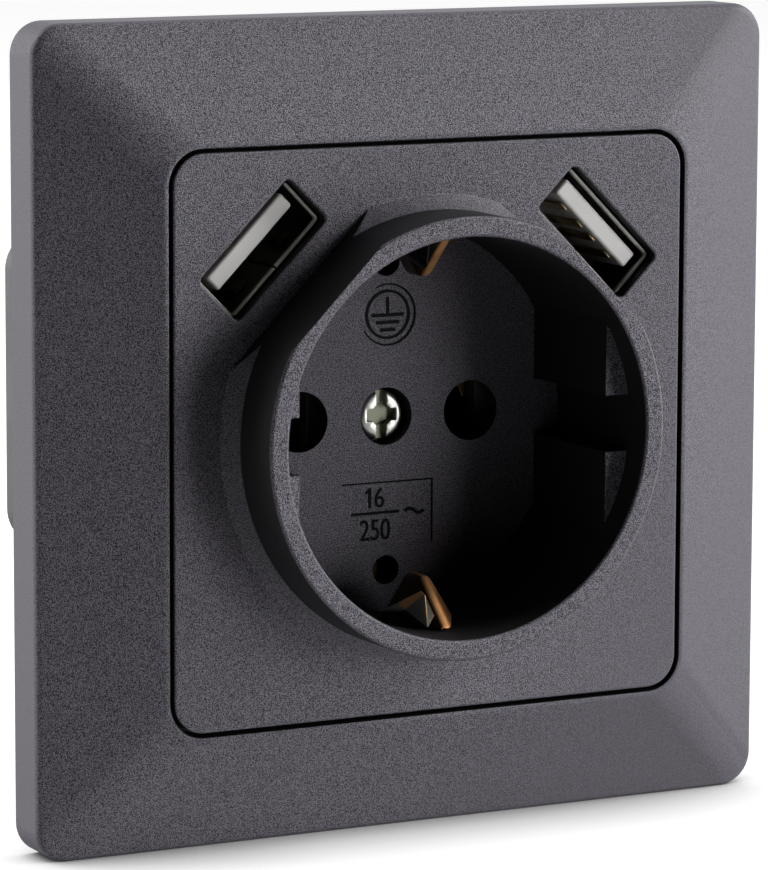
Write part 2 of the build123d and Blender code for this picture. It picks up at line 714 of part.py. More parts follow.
# Right USB outlet: plated shell, white insulator with its tongue, four contact strips
with BuildPart() as usb_shell_right:
    with BuildSketch(port_right.offset(-usb_board_front)):
        RectangleRounded(shell_short, shell_long, 2 * shell_wall)
        RectangleRounded(bore_short, bore_long, shell_wall, mode=Mode.SUBTRACT)
    extrude(amount=usb_board_front + shell_front)
usb_shell_right.part.label = "usb_shell_right"
export_step(usb_shell_right.part, "parts/usb_shell_right.step")

with BuildPart() as usb_tongue_right:
    with BuildSketch(port_right.offset(-usb_board_front)):
        RectangleRounded(bore_short, bore_long, shell_wall)
    extrude(amount=insulator_depth)
    with BuildSketch(port_right.offset(insulator_depth - usb_board_front)):
        with Locations((tongue_centre, 0)):
            Rectangle(tongue_thick, tongue_long)
    extrude(amount=shell_front - tongue_drop - insulator_depth + usb_board_front)
usb_tongue_right.part.label = "usb_tongue_right"
export_step(usb_tongue_right.part, "parts/usb_tongue_right.step")

with BuildPart() as usb_contacts_right:
    with BuildSketch(port_right.offset(insulator_depth - usb_board_front)):
        with Locations(*[(tongue_centre - tongue_thick / 2 - strip_thick / 2, t) for t in strip_places]):
            Rectangle(strip_thick, strip_width)
    extrude(amount=shell_front - 2 * tongue_drop - insulator_depth + usb_board_front)
usb_contacts_right.part.label = "usb_contacts_right"
export_step(usb_contacts_right.part, "parts/usb_contacts_right.step")

# Left USB outlet, the mirror image of the right one
with BuildPart() as usb_shell_left:
    mirror(usb_shell_right.part, about=Plane.YZ)
usb_shell_left.part.label = "usb_shell_left"
export_step(usb_shell_left.part, "parts/usb_shell_left.step")

with BuildPart() as usb_tongue_left:
    mirror(usb_tongue_right.part, about=Plane.YZ)
usb_tongue_left.part.label = "usb_tongue_left"
export_step(usb_tongue_left.part, "parts/usb_tongue_left.step")

with BuildPart() as usb_contacts_left:
    mirror(usb_contacts_right.part, about=Plane.YZ)
usb_contacts_left.part.label = "usb_contacts_left"
export_step(usb_contacts_left.part, "parts/usb_contacts_left.step")

# USB board: an arc above the cup that carries both outlets
with BuildPart() as usb_board:
    with BuildSketch(Plane.XZ.offset(-usb_board_back)):
        Circle(usb_board_outer)
        Circle(usb_board_inner, mode=Mode.SUBTRACT)
        with Locations((0, usb_board_low + tray_radius)):
            Rectangle(2 * usb_board_half, 2 * tray_radius, mode=Mode.INTERSECT)
    extrude(amount=board_thick)
usb_board.part.label = "usb_board"
export_step(usb_board.part, "parts/usb_board.step")

# Power board: a shelf across the housing above the contacts
with BuildPart() as power_board:
    with Locations((0, (web_back + inner_back) / 2, power_level + board_thick / 2)):
        Box(2 * power_half, inner_back - web_back, board_thick)
power_board.part.label = "power_board"
export_step(power_board.part, "parts/power_board.step")

# Transformer: a core of two side legs and a middle leg, with the coil around the middle leg
core_x, core_y, core_z = core_size
with BuildPart() as transformer_core:
    with BuildSketch(Plane.XZ.offset(-core_middle - core_y / 2)):
        with Locations((0, power_top + core_z / 2)):
            Rectangle(core_x, core_z)
            Rectangle(core_x - 2 * core_leg, core_z - 2 * core_leg, mode=Mode.SUBTRACT)
    extrude(amount=core_y)
    with Locations((0, core_middle, power_top + core_z / 2)):
        Box(core_leg, core_y / 2, core_z)
transformer_core.part.label = "transformer_core"
export_step(transformer_core.part, "parts/transformer_core.step")

with BuildPart() as transformer_coil:
    with Locations((0, core_middle, power_top + core_z / 2)):
        Box(core_x - 2 * core_leg - 2 * coil_gap, core_y - 2 * coil_gap, core_z - 2 * core_leg)
        Box(core_leg, core_y / 2, core_z, mode=Mode.SUBTRACT)
transformer_coil.part.label = "transformer_coil"
export_step(transformer_coil.part, "parts/transformer_coil.step")

# Capacitors lying on the power board, one behind the other
with BuildPart() as capacitors:
    with BuildSketch(Plane.XZ.offset(-can_start - can_length)):
        with Locations((-can_offset, power_top + can_radius)):
            Circle(can_radius)
    extrude(amount=can_length)
    with BuildSketch(Plane.XZ.offset(-can_start - 2 * can_length - can_gap)):
        with Locations((-can_offset, power_top + can_radius)):
            Circle(can_radius)
    extrude(amount=can_length)
capacitors.part.label = "capacitors"
export_step(capacitors.part, "parts/capacitors.step")

# Chips on the power board
with BuildPart() as board_chips:
    with Locations(*[(chip_offset, y, power_top + chip_size[2] / 2) for y in chip_rows]):
        Box(*chip_size)
board_chips.part.label = "board_chips"
export_step(board_chips.part, "parts/board_chips.step")

# Leads from the USB board back through the web and down to the power board
with BuildPart() as board_leads:
    for place in lead_places:
        with BuildLine():
            FilletPolyline(
                (place, usb_board_back, lead_level),
                (place, lead_turn, lead_level),
                (place, lead_turn, power_top),
                radius=lead_bend,
            )
        with BuildSketch(Plane(origin=(place, usb_board_back, lead_level), z_dir=(0, 1, 0))):
            Circle(lead_radius)
        sweep()
board_leads.part.label = "board_leads"
export_step(board_leads.part, "parts/board_leads.step")

# Supply leads from the contacts up to the power board
with BuildPart() as supply_leads:
    with BuildSketch(Plane.XY.offset(sleeve_radius + solder_tab)):
        with Locations((-pin_x, supply_place), (pin_x, supply_place)):
            Circle(supply_radius)
    extrude(amount=power_level - sleeve_radius - solder_tab)
supply_leads.part.label = "supply_leads"
export_step(supply_leads.part, "parts/supply_leads.step")

# Right claw: a barrel on its pin, an arm along the housing and a leg that its screw pushes
with BuildPart() as claw_right:
    with BuildSketch(Plane.XY.offset(claw_level - claw_width / 2)):
        with Locations((claw_hinge_x, claw_hinge_depth)):
            Circle(claw_barrel)
        with Locations((claw_hinge_x, claw_hinge_depth + claw_length / 2)):
            Rectangle(claw_sheet, claw_length)
        with Locations((claw_hinge_x + claw_tooth / 2, claw_hinge_depth + claw_length - claw_sheet / 2)):
            Rectangle(claw_sheet + claw_tooth, claw_sheet)
        with Locations((claw_hinge_x - claw_leg / 2, claw_hinge_depth)):
            Rectangle(claw_leg, claw_sheet)
        with Locations((claw_hinge_x, claw_hinge_depth)):
            Circle(claw_pin_radius + claw_pin_gap, mode=Mode.SUBTRACT)
    extrude(amount=claw_width)
claw_right.part.label = "claw_right"
export_step(claw_right.part, "parts/claw_right.step")

with BuildPart() as claw_left:
    mirror(claw_right.part, about=Plane.YZ)
claw_left.part.label = "claw_left"
export_step(claw_left.part, "parts/claw_left.step")

# Pins of both claws, held in the ring's ears
with BuildPart() as claw_pins:
    pin_length = claw_width + 2 * ear_gap + 2 * ear_thick
    with Locations(*hinge_places):
        Cylinder(claw_pin_radius, pin_length)
claw_pins.part.label = "claw_pins"
export_step(claw_pins.part, "parts/claw_pins.step")

# Right claw screw: its tip stands just short of the claw's leg
with BuildPart() as claw_screw_right:
    tip_end = claw_hinge_depth - claw_sheet / 2 - claw_tip_gap
    with BuildSketch(Plane.XZ.offset(-tip_end)):
        with Locations((claw_screw_x, claw_level)):
            Circle(claw_screw_tip)
    extrude(amount=claw_screw_tip_length)
    with BuildSketch(Plane.XZ.offset(claw_screw_tip_length - tip_end)):
        with Locations((claw_screw_x, claw_level)):
            Circle(claw_screw_radius)
    extrude(amount=tip_end - claw_screw_tip_length + ring_thick + claw_screw_travel)
    with BuildSketch(Plane.XZ.offset(ring_thick + claw_screw_travel)):
        with Locations((claw_screw_x, claw_level)):
            Circle(claw_screw_head)
    extrude(amount=claw_screw_head_thick)
    with BuildSketch(Plane.XZ.offset(ring_thick + claw_screw_travel + claw_screw_head_thick)):
        with Locations((claw_screw_x, claw_level)):
            Rectangle(2 * claw_screw_head, screw_slot_width)
    extrude(amount=-screw_slot_depth, mode=Mode.SUBTRACT)
claw_screw_right.part.label = "claw_screw_right"
export_step(claw_screw_right.part, "parts/claw_screw_right.step")

with BuildPart() as claw_screw_left:
    mirror(claw_screw_right.part, about=Plane.YZ)
claw_screw_left.part.label = "claw_screw_left"
export_step(claw_screw_left.part, "parts/claw_screw_left.step")
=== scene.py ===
# %% [markdown]
# # A wall socket with two charging outlets
# The CAD model is the fixed frame of this scene: it says where every piece is and how big it is.
# Here each piece gets its finish, and the pieces that the eye rests on are modelled again with
# the fine edges, seams and marks that a CAD solid leaves out. The wall is the plane y = 0, the socket
# faces -y, and a height is a distance from the wall towards the room. Sizes of pieces are written in
# millimetres and become metres where they enter Blender.

# %% Load the frame
import json
import math

import bmesh
import bpy
from mathutils import Matrix, Vector
from mathutils.bvhtree import BVHTree


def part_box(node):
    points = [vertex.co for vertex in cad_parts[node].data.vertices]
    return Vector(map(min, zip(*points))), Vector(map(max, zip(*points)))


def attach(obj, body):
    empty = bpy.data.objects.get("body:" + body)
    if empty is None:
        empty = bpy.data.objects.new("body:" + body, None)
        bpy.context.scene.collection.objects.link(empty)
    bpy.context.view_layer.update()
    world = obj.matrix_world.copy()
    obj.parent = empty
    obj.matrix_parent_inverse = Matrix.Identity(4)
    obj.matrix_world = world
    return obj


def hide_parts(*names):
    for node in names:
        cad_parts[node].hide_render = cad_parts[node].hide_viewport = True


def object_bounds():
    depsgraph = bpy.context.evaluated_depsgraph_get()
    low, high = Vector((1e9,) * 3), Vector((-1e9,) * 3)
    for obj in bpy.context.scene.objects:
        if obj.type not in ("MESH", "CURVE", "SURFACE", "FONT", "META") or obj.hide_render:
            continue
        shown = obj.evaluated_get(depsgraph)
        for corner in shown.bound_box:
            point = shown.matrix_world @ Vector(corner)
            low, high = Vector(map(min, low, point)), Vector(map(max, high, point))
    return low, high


MM = 0.001
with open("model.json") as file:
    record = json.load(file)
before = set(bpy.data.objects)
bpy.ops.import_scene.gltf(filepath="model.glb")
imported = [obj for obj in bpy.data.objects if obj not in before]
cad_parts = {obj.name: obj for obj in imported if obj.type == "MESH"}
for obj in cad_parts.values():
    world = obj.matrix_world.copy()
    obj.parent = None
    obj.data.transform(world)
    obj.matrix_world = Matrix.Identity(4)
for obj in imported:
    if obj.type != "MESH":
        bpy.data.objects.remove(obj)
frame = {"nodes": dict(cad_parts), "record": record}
cad_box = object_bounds()
nodes = frame["nodes"]
record = frame["record"]
print("nodes:", len(nodes), "box:", cad_box)

# %% [markdown]
# ## Shader maths as plain arithmetic
# A material is a graph of nodes, and arithmetic in it is a chain of Math nodes. Written node by node
# that is hard to read, so `Value` wraps an output socket and adds the Math node behind each operator.
# `Graph` adds any other node with one method: it sets the node's settings first, then its sockets,
# which take numbers, colours or other values. `Finish` is the graph of one material.


# %% A socket that does arithmetic
class Value:
    """An output socket of a graph. An operator on it adds a Math node to that graph."""

    def __init__(self, graph, socket):
        self.graph, self.socket = graph, socket

    def maths(self, operation, first, second=0.0):
        return self.graph.node("Math", {"operation": operation}, {0: first, 1: second})

    def __add__(self, other):
        return self.maths("ADD", self, other)

    def __radd__(self, other):
        return self.maths("ADD", other, self)

    def __sub__(self, other):
        return self.maths("SUBTRACT", self, other)

    def __rsub__(self, other):
        return self.maths("SUBTRACT", other, self)

    def __mul__(self, other):
        return self.maths("MULTIPLY", self, other)

    def __rmul__(self, other):
        return self.maths("MULTIPLY", other, self)

    def __truediv__(self, other):
        return self.maths("DIVIDE", self, other)

    def __rtruediv__(self, other):
        return self.maths("DIVIDE", other, self)

    def __abs__(self):
        return self.maths("ABSOLUTE", self)

    def or_more(self, other):
        """The larger one of two values."""
        return self.maths("MAXIMUM", self, other)

    def rise(self, low, high):
        """0 below low, 1 above high, and a smooth step between them."""
        sockets = {"Value": self, "From Min": low, "From Max": high}
        return self.graph.node("MapRange", {"interpolation_type": "SMOOTHSTEP"}, sockets)


# %% A graph that takes any node
class Graph:
    """A node tree of a material or of the world."""

    def __init__(self, tree):
        self.tree = tree

    def feed(self, socket, value):
        if isinstance(value, Value):
            self.tree.links.new(value.socket, socket)
        elif isinstance(value, tuple) and len(value) == 3 and socket.type == "RGBA":
            socket.default_value = (*value, 1.0)
        else:
            socket.default_value = value

    def node(self, kind, settings=None, sockets=None, out=0):
        made = self.tree.nodes.new("ShaderNode" + kind)
        for name, value in (settings or {}).items():
            setattr(made, name, value)
        for name, value in (sockets or {}).items():
            self.feed(made.inputs[name], value)
        return Value(self, made.outputs[out])

    def axes(self, vector):
        """The three numbers of a vector."""
        first = self.node("SeparateXYZ", {}, {0: vector})
        return [Value(self, output) for output in first.socket.node.outputs]

    def rays(self):
        """What is known of the ray that meets the surface, by the name of the Light Path's socket."""
        first = self.node("LightPath")
        return {output.name: Value(self, output) for output in first.socket.node.outputs}

    def blend(self, amount, first, second):
        """From the first colour to the second one."""
        settings = {"data_type": "RGBA"}
        return self.node("Mix", settings, {"Factor": amount, 6: first, 7: second}, out=2)


# %% A finish: one material with one shader
class Finish(Graph):
    """A material with one Principled shader, whose plain sockets are set when it is made."""

    def __init__(self, name, plain):
        self.material = bpy.data.materials.new(name)
        self.material.use_nodes = True
        super().__init__(self.material.node_tree)
        self.shader = self.tree.nodes["Principled BSDF"]
        for socket, value in plain.items():
            self.set(socket, value)

    def place(self):
        """The point of the surface in the object's own frame, in metres."""
        return self.node("TexCoord", out="Object")

    def facing(self):
        """The surface's own direction, in the object's frame."""
        return self.node("TexCoord", out="Normal")

    def noise(self, size, detail=2.0):
        """Soft noise between 0 and 1 whose spots are about size metres wide."""
        return self.node("TexNoise", {}, {"Vector": self.place(), "Scale": 1 / size, "Detail": detail})

    def bump(self, height, depth):
        """Tilts the surface as if height, from 0 to 1, were depth metres tall."""
        self.set("Normal", self.node("Bump", {}, {"Height": height, "Distance": depth}))

    def set(self, socket, value):
        self.feed(self.shader.inputs[socket], value)


finishes = {}
print("shader kit ready")

# %% [markdown]
# ## Anthracite lacquer
# The frame and the centre plate are moulded plastic under a dark grey lacquer with a breath of violet.
# Close up it is a fine sand of dark and light specks, a tenth of a millimetre wide, which also stand
# up a little. A picture of the surface would blur close up, so the specks are a noise, and one noise
# does both: it picks the colour and it lifts the surface. The specks fade on the sides, and they are
# painted calmer towards the right and the lower right corner, where the light falls full on them.
# The upright walls of the collar, the cup and the windows are painted nearly black as shade, in
# place of the lacquer.

# %% Anthracite finish
LACQUER_DARK, LACQUER_LIGHT = (0.021, 0.0195, 0.0245), (0.256, 0.239, 0.283)
# Painted shade: the nearly black colour of the upright walls near the middle.
PAINTED_WALL_SHADE = (0.016, 0.015, 0.017)
SPECK, SPECK_EDGE, GRAIN_DEPTH = 0.095 * MM, (0.4, 0.6), 0.08 * MM
FRONTAL = (0.35, 0.8)
WALL_SHADE_WITHIN = (29.0 * MM, 29.4 * MM)
SIDE_GRAIN, CALM_GRAIN = 0.35, 0.7
# Painted light: where the specks are calmed, as the light falls full on them.
CALM_RIGHT, CALM_CORNER, CALM_SLANT = (18 * MM, 38 * MM), (15 * MM, 45 * MM), 0.6
LACQUER_ROUGH, LIGHT_SPECK_GLOSS = 0.58, 0.14


def anthracite():
    finish = Finish("anthracite", {"Specular IOR Level": 0.28})
    _, across, _ = finish.axes(finish.facing())
    x, _, z = finish.axes(finish.place())
    front = (0 - across).rise(*FRONTAL)
    inner = 1 - abs(x).or_more(abs(z)).rise(*WALL_SHADE_WITHIN)
    low_right = (x - z * CALM_SLANT).rise(*CALM_CORNER)
    calm = x.rise(*CALM_RIGHT).or_more(low_right) * CALM_GRAIN
    shown = (front * (1 - SIDE_GRAIN) + SIDE_GRAIN) * (1 - calm)
    specks = finish.noise(SPECK, 1.0)
    grain = (specks.rise(*SPECK_EDGE) - 0.5) * shown + 0.5
    lacquer = finish.blend(grain, LACQUER_DARK, LACQUER_LIGHT)
    # Painted shade: walls near the middle that don't face the front take the nearly black colour.
    finish.set("Base Color", finish.blend(inner * (1 - front), lacquer, PAINTED_WALL_SHADE))
    finish.set("Roughness", LACQUER_ROUGH - grain * LIGHT_SPECK_GLOSS)
    finish.bump(specks * front * (1 - calm), GRAIN_DEPTH)
    return finish.material


finishes["anthracite"] = anthracite()
print("anthracite made, speck", SPECK / MM, "mm")

# %% [markdown]
# ## Metals
# All metals here have the same few parts: a metallic base colour that clouds to a duller one, a
# roughness that wanders a little, and fine tool marks. Each could have a graph of its own, but one
# function makes them all, so only the colours and numbers differ.

# %% Metal finishes
CLOUD, CLOUD_DETAIL, CLOUD_EDGE = 2.5 * MM, 3.0, (0.35, 0.75)
METAL_WANDER, TOOL_MARK_DEPTH = 0.15, 0.008 * MM


def metal(name, colour, dull, rough, marks):
    """A metal finish. Marks is the width of the tool marks."""
    finish = Finish(name, {"Metallic": 1.0})
    cloud = finish.noise(CLOUD, CLOUD_DETAIL)
    fine = finish.noise(marks)
    finish.set("Base Color", finish.blend(cloud.rise(*CLOUD_EDGE), colour, dull))
    finish.set("Roughness", fine * METAL_WANDER + rough)
    finish.bump(fine, TOOL_MARK_DEPTH)
    return finish.material


for slot, colour, dull, rough, marks in (
    ("zinc_screw", (0.62, 0.61, 0.53), (0.42, 0.42, 0.34), 0.22, 0.5 * MM),
    ("ring_steel", (0.58, 0.58, 0.56), (0.44, 0.44, 0.43), 0.3, 0.8 * MM),
    ("contact_brass", (0.42, 0.30, 0.15), (0.30, 0.21, 0.10), 0.28, 0.6 * MM),
    ("bronze", (0.80, 0.43, 0.20), (0.58, 0.28, 0.12), 0.3, 0.7 * MM),
    ("shell_nickel", (0.68, 0.66, 0.58), (0.5, 0.48, 0.41), 0.16, 0.6 * MM),
    ("contact_gold", (0.42, 0.33, 0.19), (0.30, 0.23, 0.13), 0.25, 0.4 * MM),
    ("can_metal", (0.4, 0.42, 0.46), (0.3, 0.31, 0.35), 0.3, 0.5 * MM),
    ("lead_copper", (0.7, 0.42, 0.28), (0.55, 0.3, 0.2), 0.3, 0.4 * MM),
):
    finishes[slot] = metal(slot, colour, dull, rough, marks)
print("metals:", len(finishes) - 1)

# %% [markdown]
# ## Moulded plastics and boards
# The housing, the white insulators and the parts inside are plain mouldings: one colour that shades
# off a little, and a fine skin from the mould. They too share one function.

# %% Moulding finishes
SHADING, SHADING_EDGE, SKIN_WANDER = 6 * MM, (0.3, 0.7), 0.12


def moulding(name, colour, shade, rough, skin, depth):
    """A plastic finish. Skin is the width of the skin's grain, and depth its height."""
    finish = Finish(name, {"Specular IOR Level": 0.5})
    cloud = finish.noise(SHADING)
    fine = finish.noise(skin, 1.0)
    finish.set("Base Color", finish.blend(cloud.rise(*SHADING_EDGE), colour, shade))
    finish.set("Roughness", fine * SKIN_WANDER + rough)
    finish.bump(fine, depth)
    return finish.material


for slot, colour, shade, rough, skin, depth in (
    ("housing", (0.11, 0.108, 0.108), (0.085, 0.084, 0.084), 0.45, 0.3 * MM, 0.02 * MM),
    ("white_insulator", (0.95, 0.935, 0.91), (0.89, 0.875, 0.85), 0.28, 0.4 * MM, 0.004 * MM),
    ("board_green", (0.03, 0.16, 0.06), (0.02, 0.11, 0.045), 0.3, 0.5 * MM, 0.01 * MM),
    ("ferrite", (0.045, 0.045, 0.05), (0.03, 0.03, 0.035), 0.6, 0.3 * MM, 0.02 * MM),
    ("coil_tape", (0.7, 0.5, 0.06), (0.6, 0.42, 0.05), 0.3, 0.8 * MM, 0.02 * MM),
    ("chip_black", (0.02, 0.02, 0.022), (0.015, 0.015, 0.016), 0.5, 0.2 * MM, 0.01 * MM),
):
    finishes[slot] = moulding(slot, colour, shade, rough, skin, depth)
print("finishes:", len(finishes))

# %% [markdown]
# ## Dressing the CAD nodes
# The record names a material slot for every node, and the finishes above have the slots' names. So
# the small parts inside, whose CAD solids are shown as they are, are dressed by one loop.

# %% Every CAD node takes the finish of its slot
slot_of = {part["node"]: part["material_slot"] for part in record["subparts"]}
for node, slot in slot_of.items():
    mesh = nodes[node].data
    mesh.materials.clear()
    mesh.materials.append(finishes[slot])
print("dressed:", len(slot_of))

# %% [markdown]
# ## From a CAD solid to a piece with worked edges
# A CAD solid's edges are perfectly sharp, and a perfectly sharp edge never catches the light. Real
# mouldings and stampings have a small round on every edge. So a piece starts as a copy of its CAD
# mesh: the copy is welded, its flat triangles are joined into whole faces, and the sharp edges are
# bevelled. A Bevel modifier could do that too, but code can choose the edges. Where two edges run
# together at a shallow angle, a bevel can throw a corner far out, so such points are drawn back to the
# CAD surface. The CAD mesh itself stays untouched, and the copy stands for it.

# %% Which body a node belongs to
body_of = {node: body for body, members in record["behaviour"]["bodies"].items() for node in members}
print("bodies:", sorted(set(body_of.values())))

# %% A bmesh becomes a piece
SMOOTH_BELOW = math.radians(34)


def piece(name, shape, slot, stands_for=(), body="socket", finish=None):
    """Makes a bmesh into a piece that rides on a body, takes a slot's finish and stands for CAD nodes."""
    mesh = bpy.data.meshes.new(name)
    shape.to_mesh(mesh)
    shape.free()
    mesh.shade_smooth()
    mesh.set_sharp_from_angle(angle=SMOOTH_BELOW)
    mesh.materials.append(finish or finishes[slot])
    made = bpy.data.objects.new(name, mesh)
    bpy.context.scene.collection.objects.link(made)
    made.modifiers.new("even_faces", "WEIGHTED_NORMAL").keep_sharp = True
    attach(made, body)
    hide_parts(*stands_for)
    print(name, "faces:", len(mesh.polygons))
    return made


# %% Weld, join and bevel
WELD = 0.001 * MM
FLAT_BELOW = math.radians(0.6)
STRAY_REACH = 0.3


def welded(node):
    """A copy of a CAD node's mesh, welded, with the triangles of each flat face joined."""
    shape = bmesh.new()
    shape.from_mesh(nodes[node].data)
    bmesh.ops.remove_doubles(shape, verts=shape.verts, dist=WELD)
    bmesh.ops.dissolve_limit(shape, angle_limit=FLAT_BELOW, verts=shape.verts, edges=shape.edges)
    return shape


def bevel(shape, radius, steps=2, pick=None):
    """Rounds the sharp edges of a bmesh, or those of them that pick chooses."""
    sharp = [e for e in shape.edges if e.is_manifold and e.calc_face_angle() > SMOOTH_BELOW]
    bmesh.ops.bevel(
        shape,
        geom=[e for e in sharp if pick is None or pick(e)],
        offset=radius,
        segments=steps,
        profile=0.5,
        affect="EDGES",
        offset_type="OFFSET",
        clamp_overlap=False,
    )


def softened(node, radius, steps=2, finish=None):
    """The piece that stands for a CAD node, with every sharp edge rounded."""
    shape = welded(node)
    surface = BVHTree.FromBMesh(shape)
    bevel(shape, radius, steps)
    for vert in shape.verts:
        nearest, _, _, away = surface.find_nearest(vert.co)
        if away > radius:
            vert.co = nearest.lerp(vert.co, STRAY_REACH * radius / away)
    return piece(node + "_piece", shape, slot_of[node], (node,), body_of[node], finish)


print("points weld within", WELD / MM, "mm")


# %% [markdown]
# ## Cover frame
# The frame is a square tray turned over: an upright side wall, a sharp crease, and four slopes that
# rise to the opening. Its outlines are all rounded squares at some height, so the whole frame is one
# chain of rounded squares, joined ring to ring. That gives clean faces, which shade evenly, and the
# four mitre lines soften by themselves because the corners have a radius.


# %% Rings and how they are joined
def rounded_square(half, corner, steps=10):
    """Points of a square with round corners, in the plane of the wall."""
    points = []
    for turn in range(4):
        middle = Vector((half - corner, half - corner))
        for step in range(steps + 1):
            angle = math.radians(90) * step / steps
            point = middle + corner * Vector((math.cos(angle), math.sin(angle)))
            points.append(Matrix.Rotation(math.radians(90) * turn, 2) @ point)
    return points


def ring(shape, points, height):
    """Adds points of the wall's plane at a height towards the room. Sizes are millimetres."""
    return [shape.verts.new(Vector((x, -height, z)) * MM) for x, z in points]


def join(shape, rings, round_trip=False):
    """Joins rings that have the same number of points by a band of faces each."""
    pairs = list(zip(rings, rings[1:])) + ([(rings[-1], rings[0])] if round_trip else [])
    for first, second in pairs:
        for i in range(len(first)):
            j = (i + 1) % len(first)
            shape.faces.new((first[i], first[j], second[j], second[i]))


print("points in a rounded square:", len(rounded_square(1.0, 0.1)))


# %% Cover frame
SIDE_HEIGHT, LIP_HEIGHT, LAND = 5.0, 9.9, 0.4
WALL, SIDE_CORNER, LIP_CORNER = 2.0, 3.2, 3.6
SHELF_FRONT, SHELF_DEPTH, SHELF_WIDTH = 6.5, 1.5, 1.7
CREASE, CREASE_STEPS = 0.6, 5
NOSE, NOSE_CURVE = 0.12, 0.3
PLATE_GAP, RING_THICK = 0.4, 1.2


def crease(slope):
    """The curve from the side wall to the slope, as steps inwards and upwards from the sharp corner."""
    below, corner, above = Vector((0, -CREASE)), Vector((0, 0)), Vector((-CREASE, CREASE * slope))
    steps = [i / CREASE_STEPS for i in range(CREASE_STEPS + 1)]
    return [below * (1 - t) ** 2 + corner * 2 * t * (1 - t) + above * t * t for t in steps]


def cover_frame():
    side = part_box("cover_frame")[1].x / MM
    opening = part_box("centre_plate")[1].x / MM + PLATE_GAP
    slope = (LIP_HEIGHT - SIDE_HEIGHT) / (side - opening - LAND)
    hollow = side - WALL
    shelf, shelf_corner = opening - SHELF_WIDTH, LIP_CORNER - SHELF_WIDTH / 2
    outlines = (
        (side, 0.0, SIDE_CORNER),
        *((side + point.x, SIDE_HEIGHT + point.y, SIDE_CORNER) for point in crease(slope)),
        (opening + LAND + NOSE, LIP_HEIGHT - NOSE * slope, LIP_CORNER + LAND),
        (opening + LAND, LIP_HEIGHT, LIP_CORNER + LAND),
        (opening + NOSE, LIP_HEIGHT, LIP_CORNER + NOSE),
        (opening + NOSE * NOSE_CURVE, LIP_HEIGHT - NOSE * NOSE_CURVE, LIP_CORNER),
        (opening, LIP_HEIGHT - NOSE, LIP_CORNER),
        (opening, SHELF_FRONT, LIP_CORNER),
        (shelf, SHELF_FRONT, shelf_corner),
        (shelf, SHELF_FRONT - SHELF_DEPTH, shelf_corner),
        (opening, SHELF_FRONT - SHELF_DEPTH, LIP_CORNER),
        (opening, RING_THICK, LIP_CORNER),
        (opening + WALL, RING_THICK, LIP_CORNER + WALL),
        (opening + WALL, LIP_HEIGHT - WALL - WALL * slope, LIP_CORNER + WALL),
        (hollow, SIDE_HEIGHT - WALL / 2, SIDE_CORNER / 2),
        (hollow, 0.0, SIDE_CORNER / 2),
    )
    shape = bmesh.new()
    rings = [ring(shape, rounded_square(half, corner), height) for half, height, corner in outlines]
    join(shape, rings, round_trip=True)
    bmesh.ops.recalc_face_normals(shape, faces=shape.faces)
    return piece("cover_frame_piece", shape, "anthracite", ("cover_frame",))


cover_frame()

# %% [markdown]
# ## Centre plate
# One moulding holds the plate, the collar and the cup that takes the plug. Its CAD solid has every wall
# and hole, so the piece is a copy of the CAD mesh and only its edges differ. The windows of the two
# outlets have soft edges, the collar and the plate have crisp ones, and the shallow pockets in the cup
# floor only lose their sharpness.

# %% Centre plate
WINDOW_ROUND, PLATE_ROUND, MARK_ROUND = 0.3, 0.1, 0.03
WINDOW_MARGIN, LEVEL_WITHIN = 1.0, 0.02
FLOOR_BELOW, FLOOR_RADIUS = 0.5, 18.0


def height_of(vert):
    return -vert.co.y / MM


def centre_plate():
    shape = welded("centre_plate")
    low_x, _, low_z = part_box("usb_shell_right")[0] / MM - Vector((WINDOW_MARGIN,) * 3)

    def near_window(edge):
        on_front = all(abs(height_of(v) - LIP_HEIGHT) < LEVEL_WITHIN for v in edge.verts)
        return on_front and all(abs(v.co.x) > low_x * MM and v.co.z > low_z * MM for v in edge.verts)

    def on_floor(edge):
        return all(height_of(v) < FLOOR_BELOW and v.co.xz.length < FLOOR_RADIUS * MM for v in edge.verts)

    bevel(shape, WINDOW_ROUND * MM, 3, near_window)
    bevel(shape, MARK_ROUND * MM, 1, on_floor)
    bevel(shape, PLATE_ROUND * MM, 2, lambda e: not on_floor(e))
    return piece("centre_plate_piece", shape, "anthracite", ("centre_plate",))


centre_plate()

# %% [markdown]
# ## Marks in the cup floor
# Two shallow pockets in the cup floor hold moulded marks: the earth sign and the rating in amperes and
# volts, as every socket of this kind has them. They could be painted by a mask, but as thin raised bars
# each stroke is real geometry, and their nearly black colour is painted shade. The round numbers come
# from the built-in typeface and are drawn narrow, and everything else is bars, arcs and a wave. A fine
# bar also follows the pockets' shaded edges, as painted shade.

# %% Strokes
MARK_FLOOR, MARK_TOP = 0.06, 0.17
STROKE, BOLD_STROKE, FINE_STROKE = 0.27, 0.34, 0.17


def thickened(shape, faces):
    """Gives flat faces on the pocket's floor the height of a stroke, towards the room."""
    grown = bmesh.ops.extrude_face_region(shape, geom=list(faces))["geom"]
    top = [v for v in grown if isinstance(v, bmesh.types.BMVert)]
    bmesh.ops.translate(shape, verts=top, vec=(0, -(MARK_TOP - MARK_FLOOR) * MM, 0))


def stroke(shape, points, width=STROKE):
    """A bar of even width that follows points on the pocket's floor."""
    sides = []
    for i, (x, z) in enumerate(points):
        before, after = Vector(points[max(i - 1, 0)]), Vector(points[min(i + 1, len(points) - 1)])
        along = (after - before).normalized() * width / 2
        sides.append([(x - along.y, z + along.x), (x + along.y, z - along.x)])
    rows = [ring(shape, pair, MARK_FLOOR) for pair in sides]
    faces = [shape.faces.new((a[0], a[1], b[1], b[0])) for a, b in zip(rows, rows[1:])]
    thickened(shape, faces)


